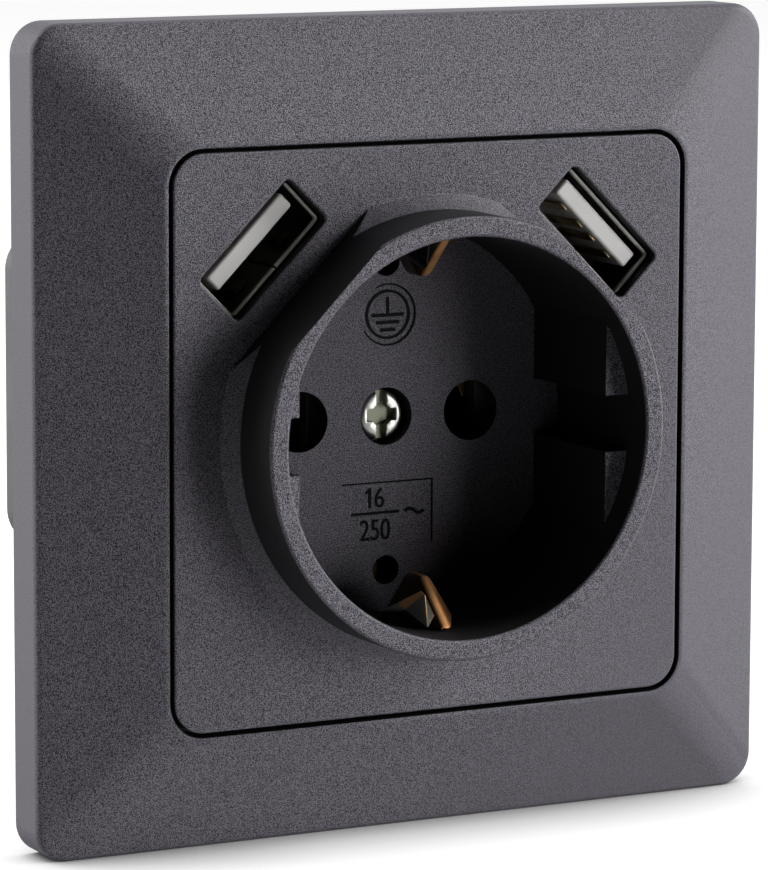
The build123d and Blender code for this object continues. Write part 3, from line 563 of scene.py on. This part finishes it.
def numbers(shape, text, middle, width, height):
    """Numbers of a given size, centred on a point of the pocket's floor."""
    curve = bpy.data.curves.new("numbers", "FONT")
    curve.body = text
    carrier = bpy.data.objects.new("numbers", curve)
    flat = carrier.to_mesh()
    low_x, high_x = (pick(v.co.x for v in flat.vertices) for pick in (min, max))
    low_y, high_y = (pick(v.co.y for v in flat.vertices) for pick in (min, max))
    wider, taller = width / (high_x - low_x), height / (high_y - low_y)
    left, foot = middle[0] - width / 2, middle[1] - height / 2
    places = [v.co for v in flat.vertices]
    points = [(left + (p.x - low_x) * wider, foot + (p.y - low_y) * taller) for p in places]
    verts = ring(shape, points, MARK_FLOOR)
    faces = [shape.faces.new([verts[i] for i in polygon.vertices]) for polygon in flat.polygons]
    thickened(shape, faces)
    carrier.to_mesh_clear()
    bpy.data.objects.remove(carrier)
    bpy.data.curves.remove(curve)


def arc(middle, radius, first=0, last=360, steps=64):
    """Points of a circle between two angles in degrees."""
    turns = [math.radians(first + (last - first) * step / steps) for step in range(steps + 1)]
    return [(middle.x + radius * math.cos(t), middle.y + radius * math.sin(t)) for t in turns]


print("strokes:", STROKE, BOLD_STROKE, FINE_STROKE, "mm")

# %% Earth sign
EARTH_MIDDLE, EARTH_RADIUS, EARTH_FIELD = Vector((0.2, 10.1)), 2.33, 3.1
# Painted shade: the field's fine edge arc is drawn only on its shaded side.
EARTH_SHADE = (115, -150)
EARTH_STEM = (1.75, 0.12)
EARTH_BARS = ((-0.05, 3.5), (-0.77, 2.56), (-1.52, 1.64))


def earth_sign(shape):
    x, z = EARTH_MIDDLE
    stroke(shape, arc(EARTH_MIDDLE, EARTH_RADIUS))
    stroke(shape, arc(EARTH_MIDDLE, EARTH_FIELD - FINE_STROKE / 2, *EARTH_SHADE), FINE_STROKE)
    stroke(shape, [(x, z + EARTH_STEM[0]), (x, z + EARTH_STEM[1])])
    for rise, width in EARTH_BARS:
        stroke(shape, [(x - width / 2, z + rise), (x + width / 2, z + rise)], BOLD_STROKE)


print("earth sign:", len(EARTH_BARS), "bars")

# %% Rating
RATING_MIDDLE, RATING_FIELD = Vector((0.2, -9.7)), Vector((10.2, 6.4))
RATING_MIDDLE_X, RATING_LINE_Z, RATING_LINE = -1.13, -9.62, 5.3
AMPERES_Z, VOLTS_Z, AMPERES_HEIGHT, VOLTS_HEIGHT = -8.1, -11.3, 2.0, 2.1
ONE_X, ONE_FLAG, SIX_X, SIX_WIDTH, VOLTS_WIDTH = -0.6, 0.48, 0.48, 1.03, 3.33
WAVE_MIDDLE, WAVE_LENGTH, WAVE_RISE, WAVE_STEPS = Vector((3.23, -9.65)), 2.1, 0.24, 16


def shaded_edges(shape):
    """Fine dark bars along the upper and the right edge of the rating's pocket, as painted shade of its
    step.
    """
    left, low = RATING_MIDDLE - RATING_FIELD / 2
    right, high = RATING_MIDDLE + RATING_FIELD / 2
    top, side = high - FINE_STROKE / 2, right - FINE_STROKE / 2
    stroke(shape, [(left, top), (right, top)], FINE_STROKE)
    stroke(shape, [(side, high - FINE_STROKE), (side, low)], FINE_STROKE)


def rating(shape):
    middle, half = RATING_MIDDLE_X, RATING_LINE / 2
    stroke(shape, [(middle - half, RATING_LINE_Z), (middle + half, RATING_LINE_Z)])
    stem, top = middle + ONE_X, AMPERES_Z + AMPERES_HEIGHT / 2
    stroke(shape, [(stem, top), (stem, top - AMPERES_HEIGHT)])
    stroke(shape, [(stem - ONE_FLAG, top - ONE_FLAG), (stem - STROKE / 2, top - STROKE)])
    numbers(shape, "6", (middle + SIX_X, AMPERES_Z), SIX_WIDTH, AMPERES_HEIGHT)
    numbers(shape, "250", (middle, VOLTS_Z), VOLTS_WIDTH, VOLTS_HEIGHT)
    spots = [i / WAVE_STEPS - 0.5 for i in range(WAVE_STEPS + 1)]
    wave = [Vector((s * WAVE_LENGTH, -WAVE_RISE * math.sin(math.radians(360) * s))) for s in spots]
    stroke(shape, [tuple(WAVE_MIDDLE + point) for point in wave], BOLD_STROKE)


print("rating field:", tuple(RATING_FIELD), "mm")

# %% All marks as one piece
MARK_SHADE_DARK, MARK_SHADE_LIGHT = (0.003, 0.0025, 0.0035), (0.008, 0.007, 0.009)
MARK_GRAIN, MARK_WANDER, MARK_ROUGH = 0.1 * MM, 0.2, 0.5


def mark_shade_plastic():
    finish = Finish("mark_shade_plastic", {"Specular IOR Level": 0.08})
    fine = finish.noise(MARK_GRAIN, 1.0)
    # Painted shade: the strokes are nearly black.
    finish.set("Base Color", finish.blend(fine, MARK_SHADE_DARK, MARK_SHADE_LIGHT))
    finish.set("Roughness", fine * MARK_WANDER + MARK_ROUGH)
    return finish.material


def marks():
    shape = bmesh.new()
    earth_sign(shape)
    shaded_edges(shape)
    rating(shape)
    bmesh.ops.remove_doubles(shape, verts=shape.verts, dist=WELD)
    bmesh.ops.recalc_face_normals(shape, faces=shape.faces)
    return piece("floor_marks", shape, "anthracite", finish=mark_shade_plastic())


marks()

# %% [markdown]
# ## Screw in the middle
# One screw holds the centre plate. Its pan head has a slot right across and a shorter cross arm with
# flared corners, so both kinds of driver fit. The real head is turned and its drive is pressed in, and
# the piece follows that: a profile is turned, the drive is cut out with a Boolean, and a last bevel
# breaks the edges that the driver meets.


# %% Turned profiles and prisms
def capped(shape, rings):
    """Joins rings to a closed form with a face at each end."""
    join(shape, rings)
    shape.faces.new(rings[0])
    shape.faces.new(reversed(rings[-1]))
    bmesh.ops.recalc_face_normals(shape, faces=shape.faces)
    return shape


def turned(profile, steps=48):
    """Turns a profile of (radius, height) about the socket's middle axis. Sizes are millimetres."""
    shape = bmesh.new()
    spin = [math.radians(360) * step / steps for step in range(steps)]
    rings = []
    for radius, height in profile:
        rings.append(ring(shape, [(radius * math.cos(t), radius * math.sin(t)) for t in spin], height))
    return capped(shape, rings)


def prism(outline, low_height, high_height):
    """A block with an outline in the wall's plane, between two heights."""
    shape = bmesh.new()
    return capped(shape, [ring(shape, outline, height) for height in (low_height, high_height)])


# %% Boolean cuts
def loose(name, shape):
    """A bmesh as a plain object that isn't part of the socket yet."""
    mesh = bpy.data.meshes.new(name)
    shape.to_mesh(mesh)
    shape.free()
    made = bpy.data.objects.new(name, mesh)
    bpy.context.scene.collection.objects.link(made)
    return made


def cut(shape, *cutters):
    """A bmesh minus others, by Boolean modifiers that are applied at once."""
    body = loose("body", shape)
    tools = [loose("tool", cutter) for cutter in cutters]
    for tool in tools:
        change = body.modifiers.new("cut", "BOOLEAN")
        change.operation, change.object, change.solver = "DIFFERENCE", tool, "EXACT"
    result = bmesh.new()
    result.from_object(body, bpy.context.evaluated_depsgraph_get())
    for item in (body, *tools):
        bpy.data.objects.remove(item)
    return result


# %% Screw finish
HEAD_ZINC, DRIVE_SHADE_ZINC = (0.60, 0.60, 0.57), (0.30, 0.31, 0.235)
RECESS = (0.12 * MM, 0.4 * MM)
ZINC_GRAIN, ZINC_GRAIN_DEPTH = 0.4 * MM, 0.003 * MM
HEAD_ROUGH, HEAD_WANDER, DRIVE_DULLER = 0.3, 0.1, 0.22


def screw_finish(top):
    """Zinc that is bright on the head. The drive is dull, and it is painted darker and a little olive as
    shade in the recess.
    """
    finish = Finish("zinc_drive", {"Metallic": 1.0})
    _, depth, _ = finish.axes(finish.place())
    recess = (depth + top).rise(*RECESS)
    fine = finish.noise(ZINC_GRAIN)
    # Painted shade: the drive recess is darker.
    finish.set("Base Color", finish.blend(recess, HEAD_ZINC, DRIVE_SHADE_ZINC))
    finish.set("Roughness", fine * HEAD_WANDER + recess * DRIVE_DULLER + HEAD_ROUGH)
    finish.bump(fine, ZINC_GRAIN_DEPTH)
    return finish.material


# %% Centre screw
HEAD_RADIUS, HEAD_TOP, HEAD_SEAT = 2.45, -0.7, -2.3
HEAD_CROWN = ((0.0, 0.55), (0.05, 0.35), (0.22, 0.16), (0.5, 0.06), (1.47, 0.0))
SHANK_RADIUS, SHANK_END, TIP_TAPER, MIDDLE_RADIUS = 1.5, -11.3, 0.4, 0.05
SLOT_HALF, SLOT_DEPTH, SLOT_OVERRUN = 0.56, 0.8, 0.2
ARM_HALF, ARM_REACH, ARM_DEPTH, FLARE = 0.6, 1.62, 1.0, 0.44
CUT_ABOVE, DRIVE_ROUND, ROUND_ABOVE_SEAT = 0.5, 0.07, 0.2


def centre_screw():
    blank = turned(
        (
            (MIDDLE_RADIUS, SHANK_END),
            (SHANK_RADIUS, SHANK_END + TIP_TAPER),
            (SHANK_RADIUS, HEAD_SEAT),
            (HEAD_RADIUS, HEAD_SEAT),
            *((HEAD_RADIUS - inset, HEAD_TOP - drop) for inset, drop in HEAD_CROWN),
            (MIDDLE_RADIUS, HEAD_TOP),
        )
    )
    arm = [
        (-ARM_REACH, -ARM_HALF),
        (-SLOT_HALF - FLARE, -ARM_HALF),
        (-SLOT_HALF, -ARM_HALF - FLARE),
        (SLOT_HALF, -ARM_HALF - FLARE),
        (SLOT_HALF + FLARE, -ARM_HALF),
        (ARM_REACH, -ARM_HALF),
    ]
    cross = arm + [(-x, -z) for x, z in arm]
    reach = HEAD_RADIUS + SLOT_OVERRUN
    slot = [(-SLOT_HALF, -reach), (SLOT_HALF, -reach), (SLOT_HALF, reach), (-SLOT_HALF, reach)]
    above = HEAD_TOP + CUT_ABOVE
    shape = cut(blank, prism(slot, HEAD_TOP - SLOT_DEPTH, above), prism(cross, HEAD_TOP - ARM_DEPTH, above))
    lowest = HEAD_SEAT + ROUND_ABOVE_SEAT
    bevel(shape, DRIVE_ROUND * MM, 2, lambda e: all(height_of(v) > lowest for v in e.verts))
    finish = screw_finish(HEAD_TOP * MM)
    return piece("centre_screw_piece", shape, "zinc_screw", ("centre_screw",), finish=finish)


centre_screw()

# %% [markdown]
# ## Charging outlets
# Each outlet is a plated steel shell, folded from sheet with a seam in the middle of the side towards
# the collar, and a white tongue with four contacts. The shell's mouth lies a little below the plate and
# is rounded towards the inside to lead the plug in. Two sprung tabs on each long side press on the plug.
# A box with a Solidify modifier would have neither seam nor round, so a shell is a chain of rounded
# rectangles that starts at one side of the seam and ends at the other.


# %% The outlet's own directions
def outlet_place(side, out, along, height):
    """A point of an outlet: out from the middle of the socket, along the outlet, and towards the room."""
    low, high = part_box("usb_shell_right")
    middle = (low + high) / 2 / MM
    x = middle.x + (out + along) * math.sqrt(0.5)
    z = middle.z + (out - along) * math.sqrt(0.5)
    return Vector((side * x, -height, z)) * MM


def outlet_ring(half_out, half_along, corner, seam, steps=5):
    """A rounded rectangle that starts and ends at the seam, in the middle of the side to the collar."""
    points = [(-half_out, seam / 2)]
    for turn, (sign_out, sign_along) in enumerate(((-1, 1), (1, 1), (1, -1), (-1, -1))):
        middle = Vector((sign_out * (half_out - corner), sign_along * (half_along - corner)))
        for step in range(steps + 1):
            angle = math.radians(180 - 90 * turn - 90 * step / steps)
            points.append(tuple(middle + corner * Vector((math.cos(angle), math.sin(angle)))))
    return points + [(-half_out, -seam / 2)]


print("middle of the right outlet:", [round(v / MM, 2) for v in outlet_place(1, 0.0, 0.0, 0.0)])


# %% Shell finish
SHELL_SHADE_DARK, RIM_HIGHLIGHT = (0.10, 0.096, 0.084), (0.95, 0.93, 0.86)
HIGHLIGHT_FACES, HIGHLIGHT_DEPTH, HIGHLIGHT_MATTE = (0.05, 0.3), (0.3 * MM, 0.8 * MM), 0.7
PLATE_GRAIN, PLATE_GRAIN_DEPTH = 0.6 * MM, 0.006 * MM
PLATE_ROUGH, PLATE_WANDER, HIGHLIGHT_DULLER = 0.25, 0.15, 0.25


def shell_finish(mouth):
    """Plated steel, painted dark as the shade inside the outlet. The mouth's left-facing edges are a
    painted highlight.
    """
    finish = Finish("plated_shell", {"Specular IOR Level": 0.5})
    to_right, _, _ = finish.axes(finish.facing())
    _, depth, _ = finish.axes(finish.place())
    # Painted highlight on the left-facing faces near the mouth; the rest of the shell is painted shade.
    highlight = (0 - to_right).rise(*HIGHLIGHT_FACES) * (1 - (depth + mouth).rise(*HIGHLIGHT_DEPTH))
    fine = finish.noise(PLATE_GRAIN)
    finish.set("Base Color", finish.blend(highlight, SHELL_SHADE_DARK, RIM_HIGHLIGHT))
    finish.set("Metallic", 1 - highlight * HIGHLIGHT_MATTE)
    finish.set("Roughness", fine * PLATE_WANDER + highlight * HIGHLIGHT_DULLER + PLATE_ROUGH)
    finish.bump(fine, PLATE_GRAIN_DEPTH)
    return finish.material


# %% Sprung tabs
SHELL_OUT, SHELL_ALONG, SHEET, SHELL_CORNER = 2.8, 6.55, 0.3, 0.6
TAB_SPOTS, TAB_WIDTH, TAB_SHEET = (-3.2, 3.2), 1.5, 0.18
TAB_BEND = ((7.2, 0.0), (4.6, 0.3), (3.4, 0.45), (2.6, 0.3), (2.2, 0.05))


def tab(shape, side, wall, spot, mouth):
    """A sprung tab: a strip that leaves the wall, bends into the outlet and comes back to the wall."""
    inner = SHELL_OUT - SHEET
    ends = (spot - TAB_WIDTH / 2, spot + TAB_WIDTH / 2)

    def row(drop, bend):
        places = [outlet_place(side, wall * (inner - bend), end, mouth - drop) for end in ends]
        return [shape.verts.new(place) for place in places]

    front = [row(drop, bend) for drop, bend in TAB_BEND]
    back = [row(drop, bend + TAB_SHEET) for drop, bend in TAB_BEND]
    loop = front + back[::-1]
    for first, second in zip(loop, loop[1:] + loop[:1]):
        shape.faces.new((first[0], first[1], second[1], second[0]))
    for end in (0, 1):
        for i in range(len(front) - 1):
            shape.faces.new((front[i][end], front[i + 1][end], back[i + 1][end], back[i][end]))


print("tabs in each shell:", 2 * len(TAB_SPOTS))

# %% Shells
MOUTH_SINK, SEAM = 0.2, 0.25
OUTER_ROUND = ((0.0, 0.1), (0.02, 0.03), (0.07, 0.0))
INNER_ROUND = ((0.12, 0.0), (0.19, 0.02), (0.25, 0.065), (0.285, 0.12), (SHEET, 0.19))


def shell(node, side):
    low, high = (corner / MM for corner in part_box(node))
    mouth, foot = -low.y - MOUTH_SINK, -high.y
    rim = [(inset, mouth - drop) for inset, drop in OUTER_ROUND + INNER_ROUND]
    shape = bmesh.new()
    rings = []
    for inset, height in ((0.0, foot), *rim, (SHEET, foot)):
        outline = outlet_ring(SHELL_OUT - inset, SHELL_ALONG - inset, SHELL_CORNER - inset, SEAM)
        rings.append([shape.verts.new(outlet_place(side, out, along, height)) for out, along in outline])
    for first, second in zip(rings, rings[1:] + rings[:1]):
        for i in range(len(first) - 1):
            shape.faces.new((first[i], first[i + 1], second[i + 1], second[i]))
    for end in (0, -1):
        shape.faces.new([row[end] for row in rings])
    for wall in (-1, 1):
        for spot in TAB_SPOTS:
            tab(shape, side, wall, spot, mouth)
    bmesh.ops.recalc_face_normals(shape, faces=shape.faces)
    return piece(node + "_piece", shape, "shell_nickel", (node,), finish=shell_finish(mouth * MM))


shell("usb_shell_left", -1)
shell("usb_shell_right", 1)

# %% Tongues and contacts
TONGUE_ROUND, CONTACT_ROUND = 0.3, 0.08
for node in ("usb_tongue_left", "usb_tongue_right"):
    softened(node, TONGUE_ROUND * MM, 4)
for node in ("usb_contacts_left", "usb_contacts_right"):
    softened(node, CONTACT_ROUND * MM)

# %% [markdown]
# ## Earth strap
# The strap ends in two folded clips that stand in the cup and touch the plug from above and below. The
# bronze is painted bright copper on the flank that faces right, as the lit side, and nearly black on the
# other flank and behind the floor, as shade. Each clip has a small folded ear, which is the convex hull
# of its few corners. It is plated like the sheet it was cut from, and only its cut edge shows the copper
# colour, so its finish looks at which way the surface faces. The upper clip is painted darker, as shade,
# than the lower one, and its ear is painted nearly black as shade.

# %% Strap finish
COPPER, DULL_COPPER, STRAP_SHADE = (0.95, 0.50, 0.21), (0.70, 0.34, 0.13), (0.045, 0.028, 0.018)
LIT_FACES, BEHIND_FLOOR, UPPER_HALF = (-0.4, 0.0), (-1 * MM, 0.0), (-1 * MM, 1 * MM)
UPPER_SHADE = 0.5
STRAP_GRAIN, STRAP_ROUGH, STRAP_WANDER, LIT_DULLER = 0.7 * MM, 0.3, 0.15, 0.16


def strap_finish():
    finish = Finish("earth_bronze", {"Metallic": 1.0})
    to_right, _, _ = finish.axes(finish.facing())
    _, depth, z = finish.axes(finish.place())
    # Painted light and shade: right-facing faces are lit copper, and the other faces, the part behind the
    # floor and the upper clip are darker.
    lit_flank = to_right.rise(*LIT_FACES) * (1 - depth.rise(*BEHIND_FLOOR))
    painted_light = lit_flank * (1 - z.rise(*UPPER_HALF) * UPPER_SHADE)
    cloud = finish.noise(CLOUD, CLOUD_DETAIL)
    fine = finish.noise(STRAP_GRAIN)
    copper = finish.blend(cloud.rise(*CLOUD_EDGE), COPPER, DULL_COPPER)
    finish.set("Base Color", finish.blend(painted_light, STRAP_SHADE, copper))
    finish.set("Roughness", fine * STRAP_WANDER + lit_flank * LIT_DULLER + STRAP_ROUGH)
    finish.bump(fine, TOOL_MARK_DEPTH)
    return finish.material


STRAP_ROUND = 0.1
softened("earth_strap", STRAP_ROUND * MM, finish=strap_finish())

# %% Ear finish
EAR_PLATED, EAR_COPPER, EAR_SHADE = (0.40, 0.40, 0.36), (0.98, 0.60, 0.25), (0.04, 0.036, 0.032)
EAR_LEVEL = 17 * MM
CUT_FACES, CUT_HEIGHT = (0.4, 0.5), (8.0 * MM, 8.8 * MM)
EAR_GRAIN, EAR_GRAIN_DEPTH = 0.5 * MM, 0.006 * MM
EAR_ROUGH, EAR_WANDER, CUT_DULLER = 0.24, 0.12, 0.2


def ear_finish():
    finish = Finish("plated_ear", {"Metallic": 1.0})
    _, _, up = finish.axes(finish.facing())
    _, depth, z = finish.axes(finish.place())
    inward = 0 - up * z / EAR_LEVEL
    cut_edge = inward.rise(*CUT_FACES) * (0 - depth).rise(*CUT_HEIGHT)
    lower = (0 - z).rise(*UPPER_HALF)
    fine = finish.noise(EAR_GRAIN)
    plated = finish.blend(cut_edge, EAR_PLATED, EAR_COPPER)
    # Painted shade: the upper ear is nearly black.
    finish.set("Base Color", finish.blend(lower, EAR_SHADE, plated))
    finish.set("Roughness", fine * EAR_WANDER + cut_edge * CUT_DULLER + EAR_ROUGH)
    finish.bump(fine, EAR_GRAIN_DEPTH)
    return finish.material


# %% Ears
EAR_CORNERS = (
    (-1.5, 10.4, -15.7),
    (-3.0, 9.1, -17.3),
    (-1.5, 11.3, -16.0),
    (-3.0, 10.1, -17.6),
    (-3.4, 5.0, -18.6),
    (-1.9, 12.6, -19.0),
    (-0.6, 11.5, -18.1),
    (-0.6, 7.0, -18.6),
)
EAR_ROUND = 0.05


def earth_ears():
    """The lower ear from its corners (x, height, z), and the upper one mirrored."""
    shape = bmesh.new()
    for mirror in (1, -1):
        corners = [shape.verts.new(Vector((x, -height, mirror * z)) * MM) for x, height, z in EAR_CORNERS]
        bmesh.ops.convex_hull(shape, input=corners)
    bmesh.ops.recalc_face_normals(shape, faces=shape.faces)
    bevel(shape, EAR_ROUND * MM, 1)
    return piece("earth_ears", shape, "bronze", finish=ear_finish())


earth_ears()

# %% [markdown]
# ## Housing, ring and claws
# These pieces go into the wall and are seen only from behind or when the socket lies on a bench. Their
# CAD solids have the right form, so it is enough to break their edges: a moulding by a quarter of
# a millimetre, stamped and turned metal by a tenth or so.

# %% Broken edges
for radius, edged in (
    (0.25, ("rear_cover", "socket_base", "ring_rivets")),
    (0.15, ("housing_screws", "terminal_screws", "claw_screw_left", "claw_screw_right")),
    (0.12, ("line_clamp", "neutral_clamp", "earth_clamp", "claw_left", "claw_right", "support_ring")),
    (0.1, ("line_contact", "neutral_contact", "transformer_core", "transformer_coil")),
    (0.1, ("board_chips", "usb_board", "power_board")),
    (0.4, ("capacitors",)),
):
    for node in edged:
        softened(node, radius * MM)

# %% [markdown]
# ## Table and backdrop
# The socket stands on its frame's lower edge on a white table, as for a catalogue picture. More lamps
# would make the table white, but they would bleach the socket too. So the table is bright by itself for
# the camera. That glow fades where the open sky over the table is blocked, which gives the soft shadow
# along the frame's foot. A white backdrop stands behind, where shiny metal mirrors it, and the studio
# on the camera's side is dark.

# %% Table
TABLE_SIZE, TABLE_FRONT = 3.0, 0.11
TABLE_GREY, TABLE_ROUGH = (0.4, 0.4, 0.4), 0.7
TABLE_GLOW, MIRRORED_GLOW = (0.84, 0.84, 0.84), 0.2
SHADOW_REACH, SHADOW_SAMPLES, SHADOW_EDGE = 16 * MM, 12, (0.1, 0.95)


def table_finish():
    plain = {"Base Color": TABLE_GREY, "Roughness": TABLE_ROUGH, "Emission Strength": 1.0}
    finish = Finish("table", plain)
    rays = finish.rays()
    seen = rays["Is Camera Ray"] + rays["Is Glossy Ray"] * MIRRORED_GLOW
    settings = {"samples": SHADOW_SAMPLES}
    open_sky = finish.node("AmbientOcclusion", settings, {"Distance": SHADOW_REACH}, out="AO")
    glow = seen * open_sky.rise(*SHADOW_EDGE)
    finish.set("Emission Color", finish.blend(glow, (0.0, 0.0, 0.0), TABLE_GLOW))
    return finish.material


table_top = cad_box[0][2]
bpy.ops.mesh.primitive_plane_add(size=TABLE_SIZE, location=(0, TABLE_SIZE / 2 - TABLE_FRONT, table_top))
table = bpy.context.object
table.name = "table"
table.visible_shadow = False
table.data.materials.append(table_finish())
print("table at", round(table_top, 4))

# %% Backdrop
BACKDROP, BACKDROP_EDGE = 0.9, (0.1, 0.5)


def studio():
    world = bpy.data.worlds.new("studio")
    bpy.context.scene.world = world
    world.use_nodes = True
    graph = Graph(world.node_tree)
    _, away, _ = graph.axes(graph.node("TexCoord", out="Generated"))
    rays = graph.rays()
    mirrored = rays["Is Glossy Ray"] + rays["Is Transmission Ray"]
    background = world.node_tree.nodes["Background"]
    graph.feed(background.inputs["Color"], (1.0, 1.0, 1.0))
    strength = rays["Is Camera Ray"] + mirrored * away.rise(*BACKDROP_EDGE) * BACKDROP
    graph.feed(background.inputs["Strength"], strength)


studio()
print("backdrop level", BACKDROP)

# %% [markdown]
# ## Lamps
# A lamp is placed by two angles, so that it can be moved round the socket as in a studio, and its level
# is the brightness that a white card would have under it. The key lamp comes from the right and a little
# above, with two weak cards under it. A narrow strip from the front right lights the cup. A low card
# lifts the lower slope through the table, which casts no shadow, and a faint card fills the left slope.
# Three lamps behind light the side wall and the upper edge.

# %% Lamps
LAMP_DISTANCE = 0.9
CARD, WIDE_CARD = (0.32, 0.32), (0.45, 0.45)
STRIP = (0.31, 0.75)


def lamp(name, turn, rise, size, level):
    """A soft lamp that faces the socket. Turn is to the right of straight ahead, in degrees."""
    turn, rise = math.radians(turn), math.radians(rise)
    place = Vector((math.sin(turn) * math.cos(rise), -math.cos(turn) * math.cos(rise), math.sin(rise)))
    data = bpy.data.lights.new(name, "AREA")
    data.shape, data.size, data.size_y = "RECTANGLE", *size
    data.energy = level * (math.pi * LAMP_DISTANCE) ** 2
    made = bpy.data.objects.new(name, data)
    made.location = place * LAMP_DISTANCE
    made.rotation_euler = (-place).to_track_quat("-Z", "Y").to_euler()
    made.visible_camera = False
    bpy.context.scene.collection.objects.link(made)
    print(name, "level", level)


lamp("key", 75, 30, CARD, 0.93)
lamp("right_card", 75, 5, CARD, 0.2)
lamp("strip", 37, -7, STRIP, 0.45)
lamp("left_card", -80, -10, WIDE_CARD, 0.05)
lamp("middle_card", 55, 5, CARD, 0.08)
lamp("low_card", 55, -45, CARD, 0.17)
lamp("back_left_high", 230, 40, WIDE_CARD, 0.66)
lamp("back_left", 230, 0, WIDE_CARD, 0.4)
lamp("back", 180, 0, WIDE_CARD, 0.3)

# %% [markdown]
# ## Camera
# The camera looks from the left and a little from above, through a long lens. Its place is given by two
# angles and a distance from the point that it aims at, which says more than three coordinates would, and
# its lens by a focal length in pixels of the finished picture.

# %% Camera
AZIMUTH, ELEVATION, ROLL = math.radians(-27.9), math.radians(8.518), math.radians(0.188)
AIM = Vector((-5.411, -10.0, -0.204)) * MM
DISTANCE = 467.1 * MM
IMAGE_WIDTH, FOCAL_PIXELS = 768, 4843
SENSOR = 36.0

level_reach = math.cos(ELEVATION)
back = Vector((math.sin(AZIMUTH) * level_reach, -math.cos(AZIMUTH) * level_reach, math.sin(ELEVATION)))
camera_data = bpy.data.cameras.new("camera")
camera_data.sensor_fit, camera_data.sensor_width = "HORIZONTAL", SENSOR
camera_data.lens = FOCAL_PIXELS * SENSOR / IMAGE_WIDTH
camera = bpy.data.objects.new("camera", camera_data)
turn = back.to_track_quat("Z", "Y").to_matrix().to_4x4() @ Matrix.Rotation(ROLL, 4, "Z")
camera.matrix_world = Matrix.Translation(AIM + DISTANCE * back) @ turn
bpy.context.scene.collection.objects.link(camera)
bpy.context.scene.camera = camera
bpy.context.scene.view_settings.view_transform = "Standard"
print("camera at", [round(v, 4) for v in camera.location])
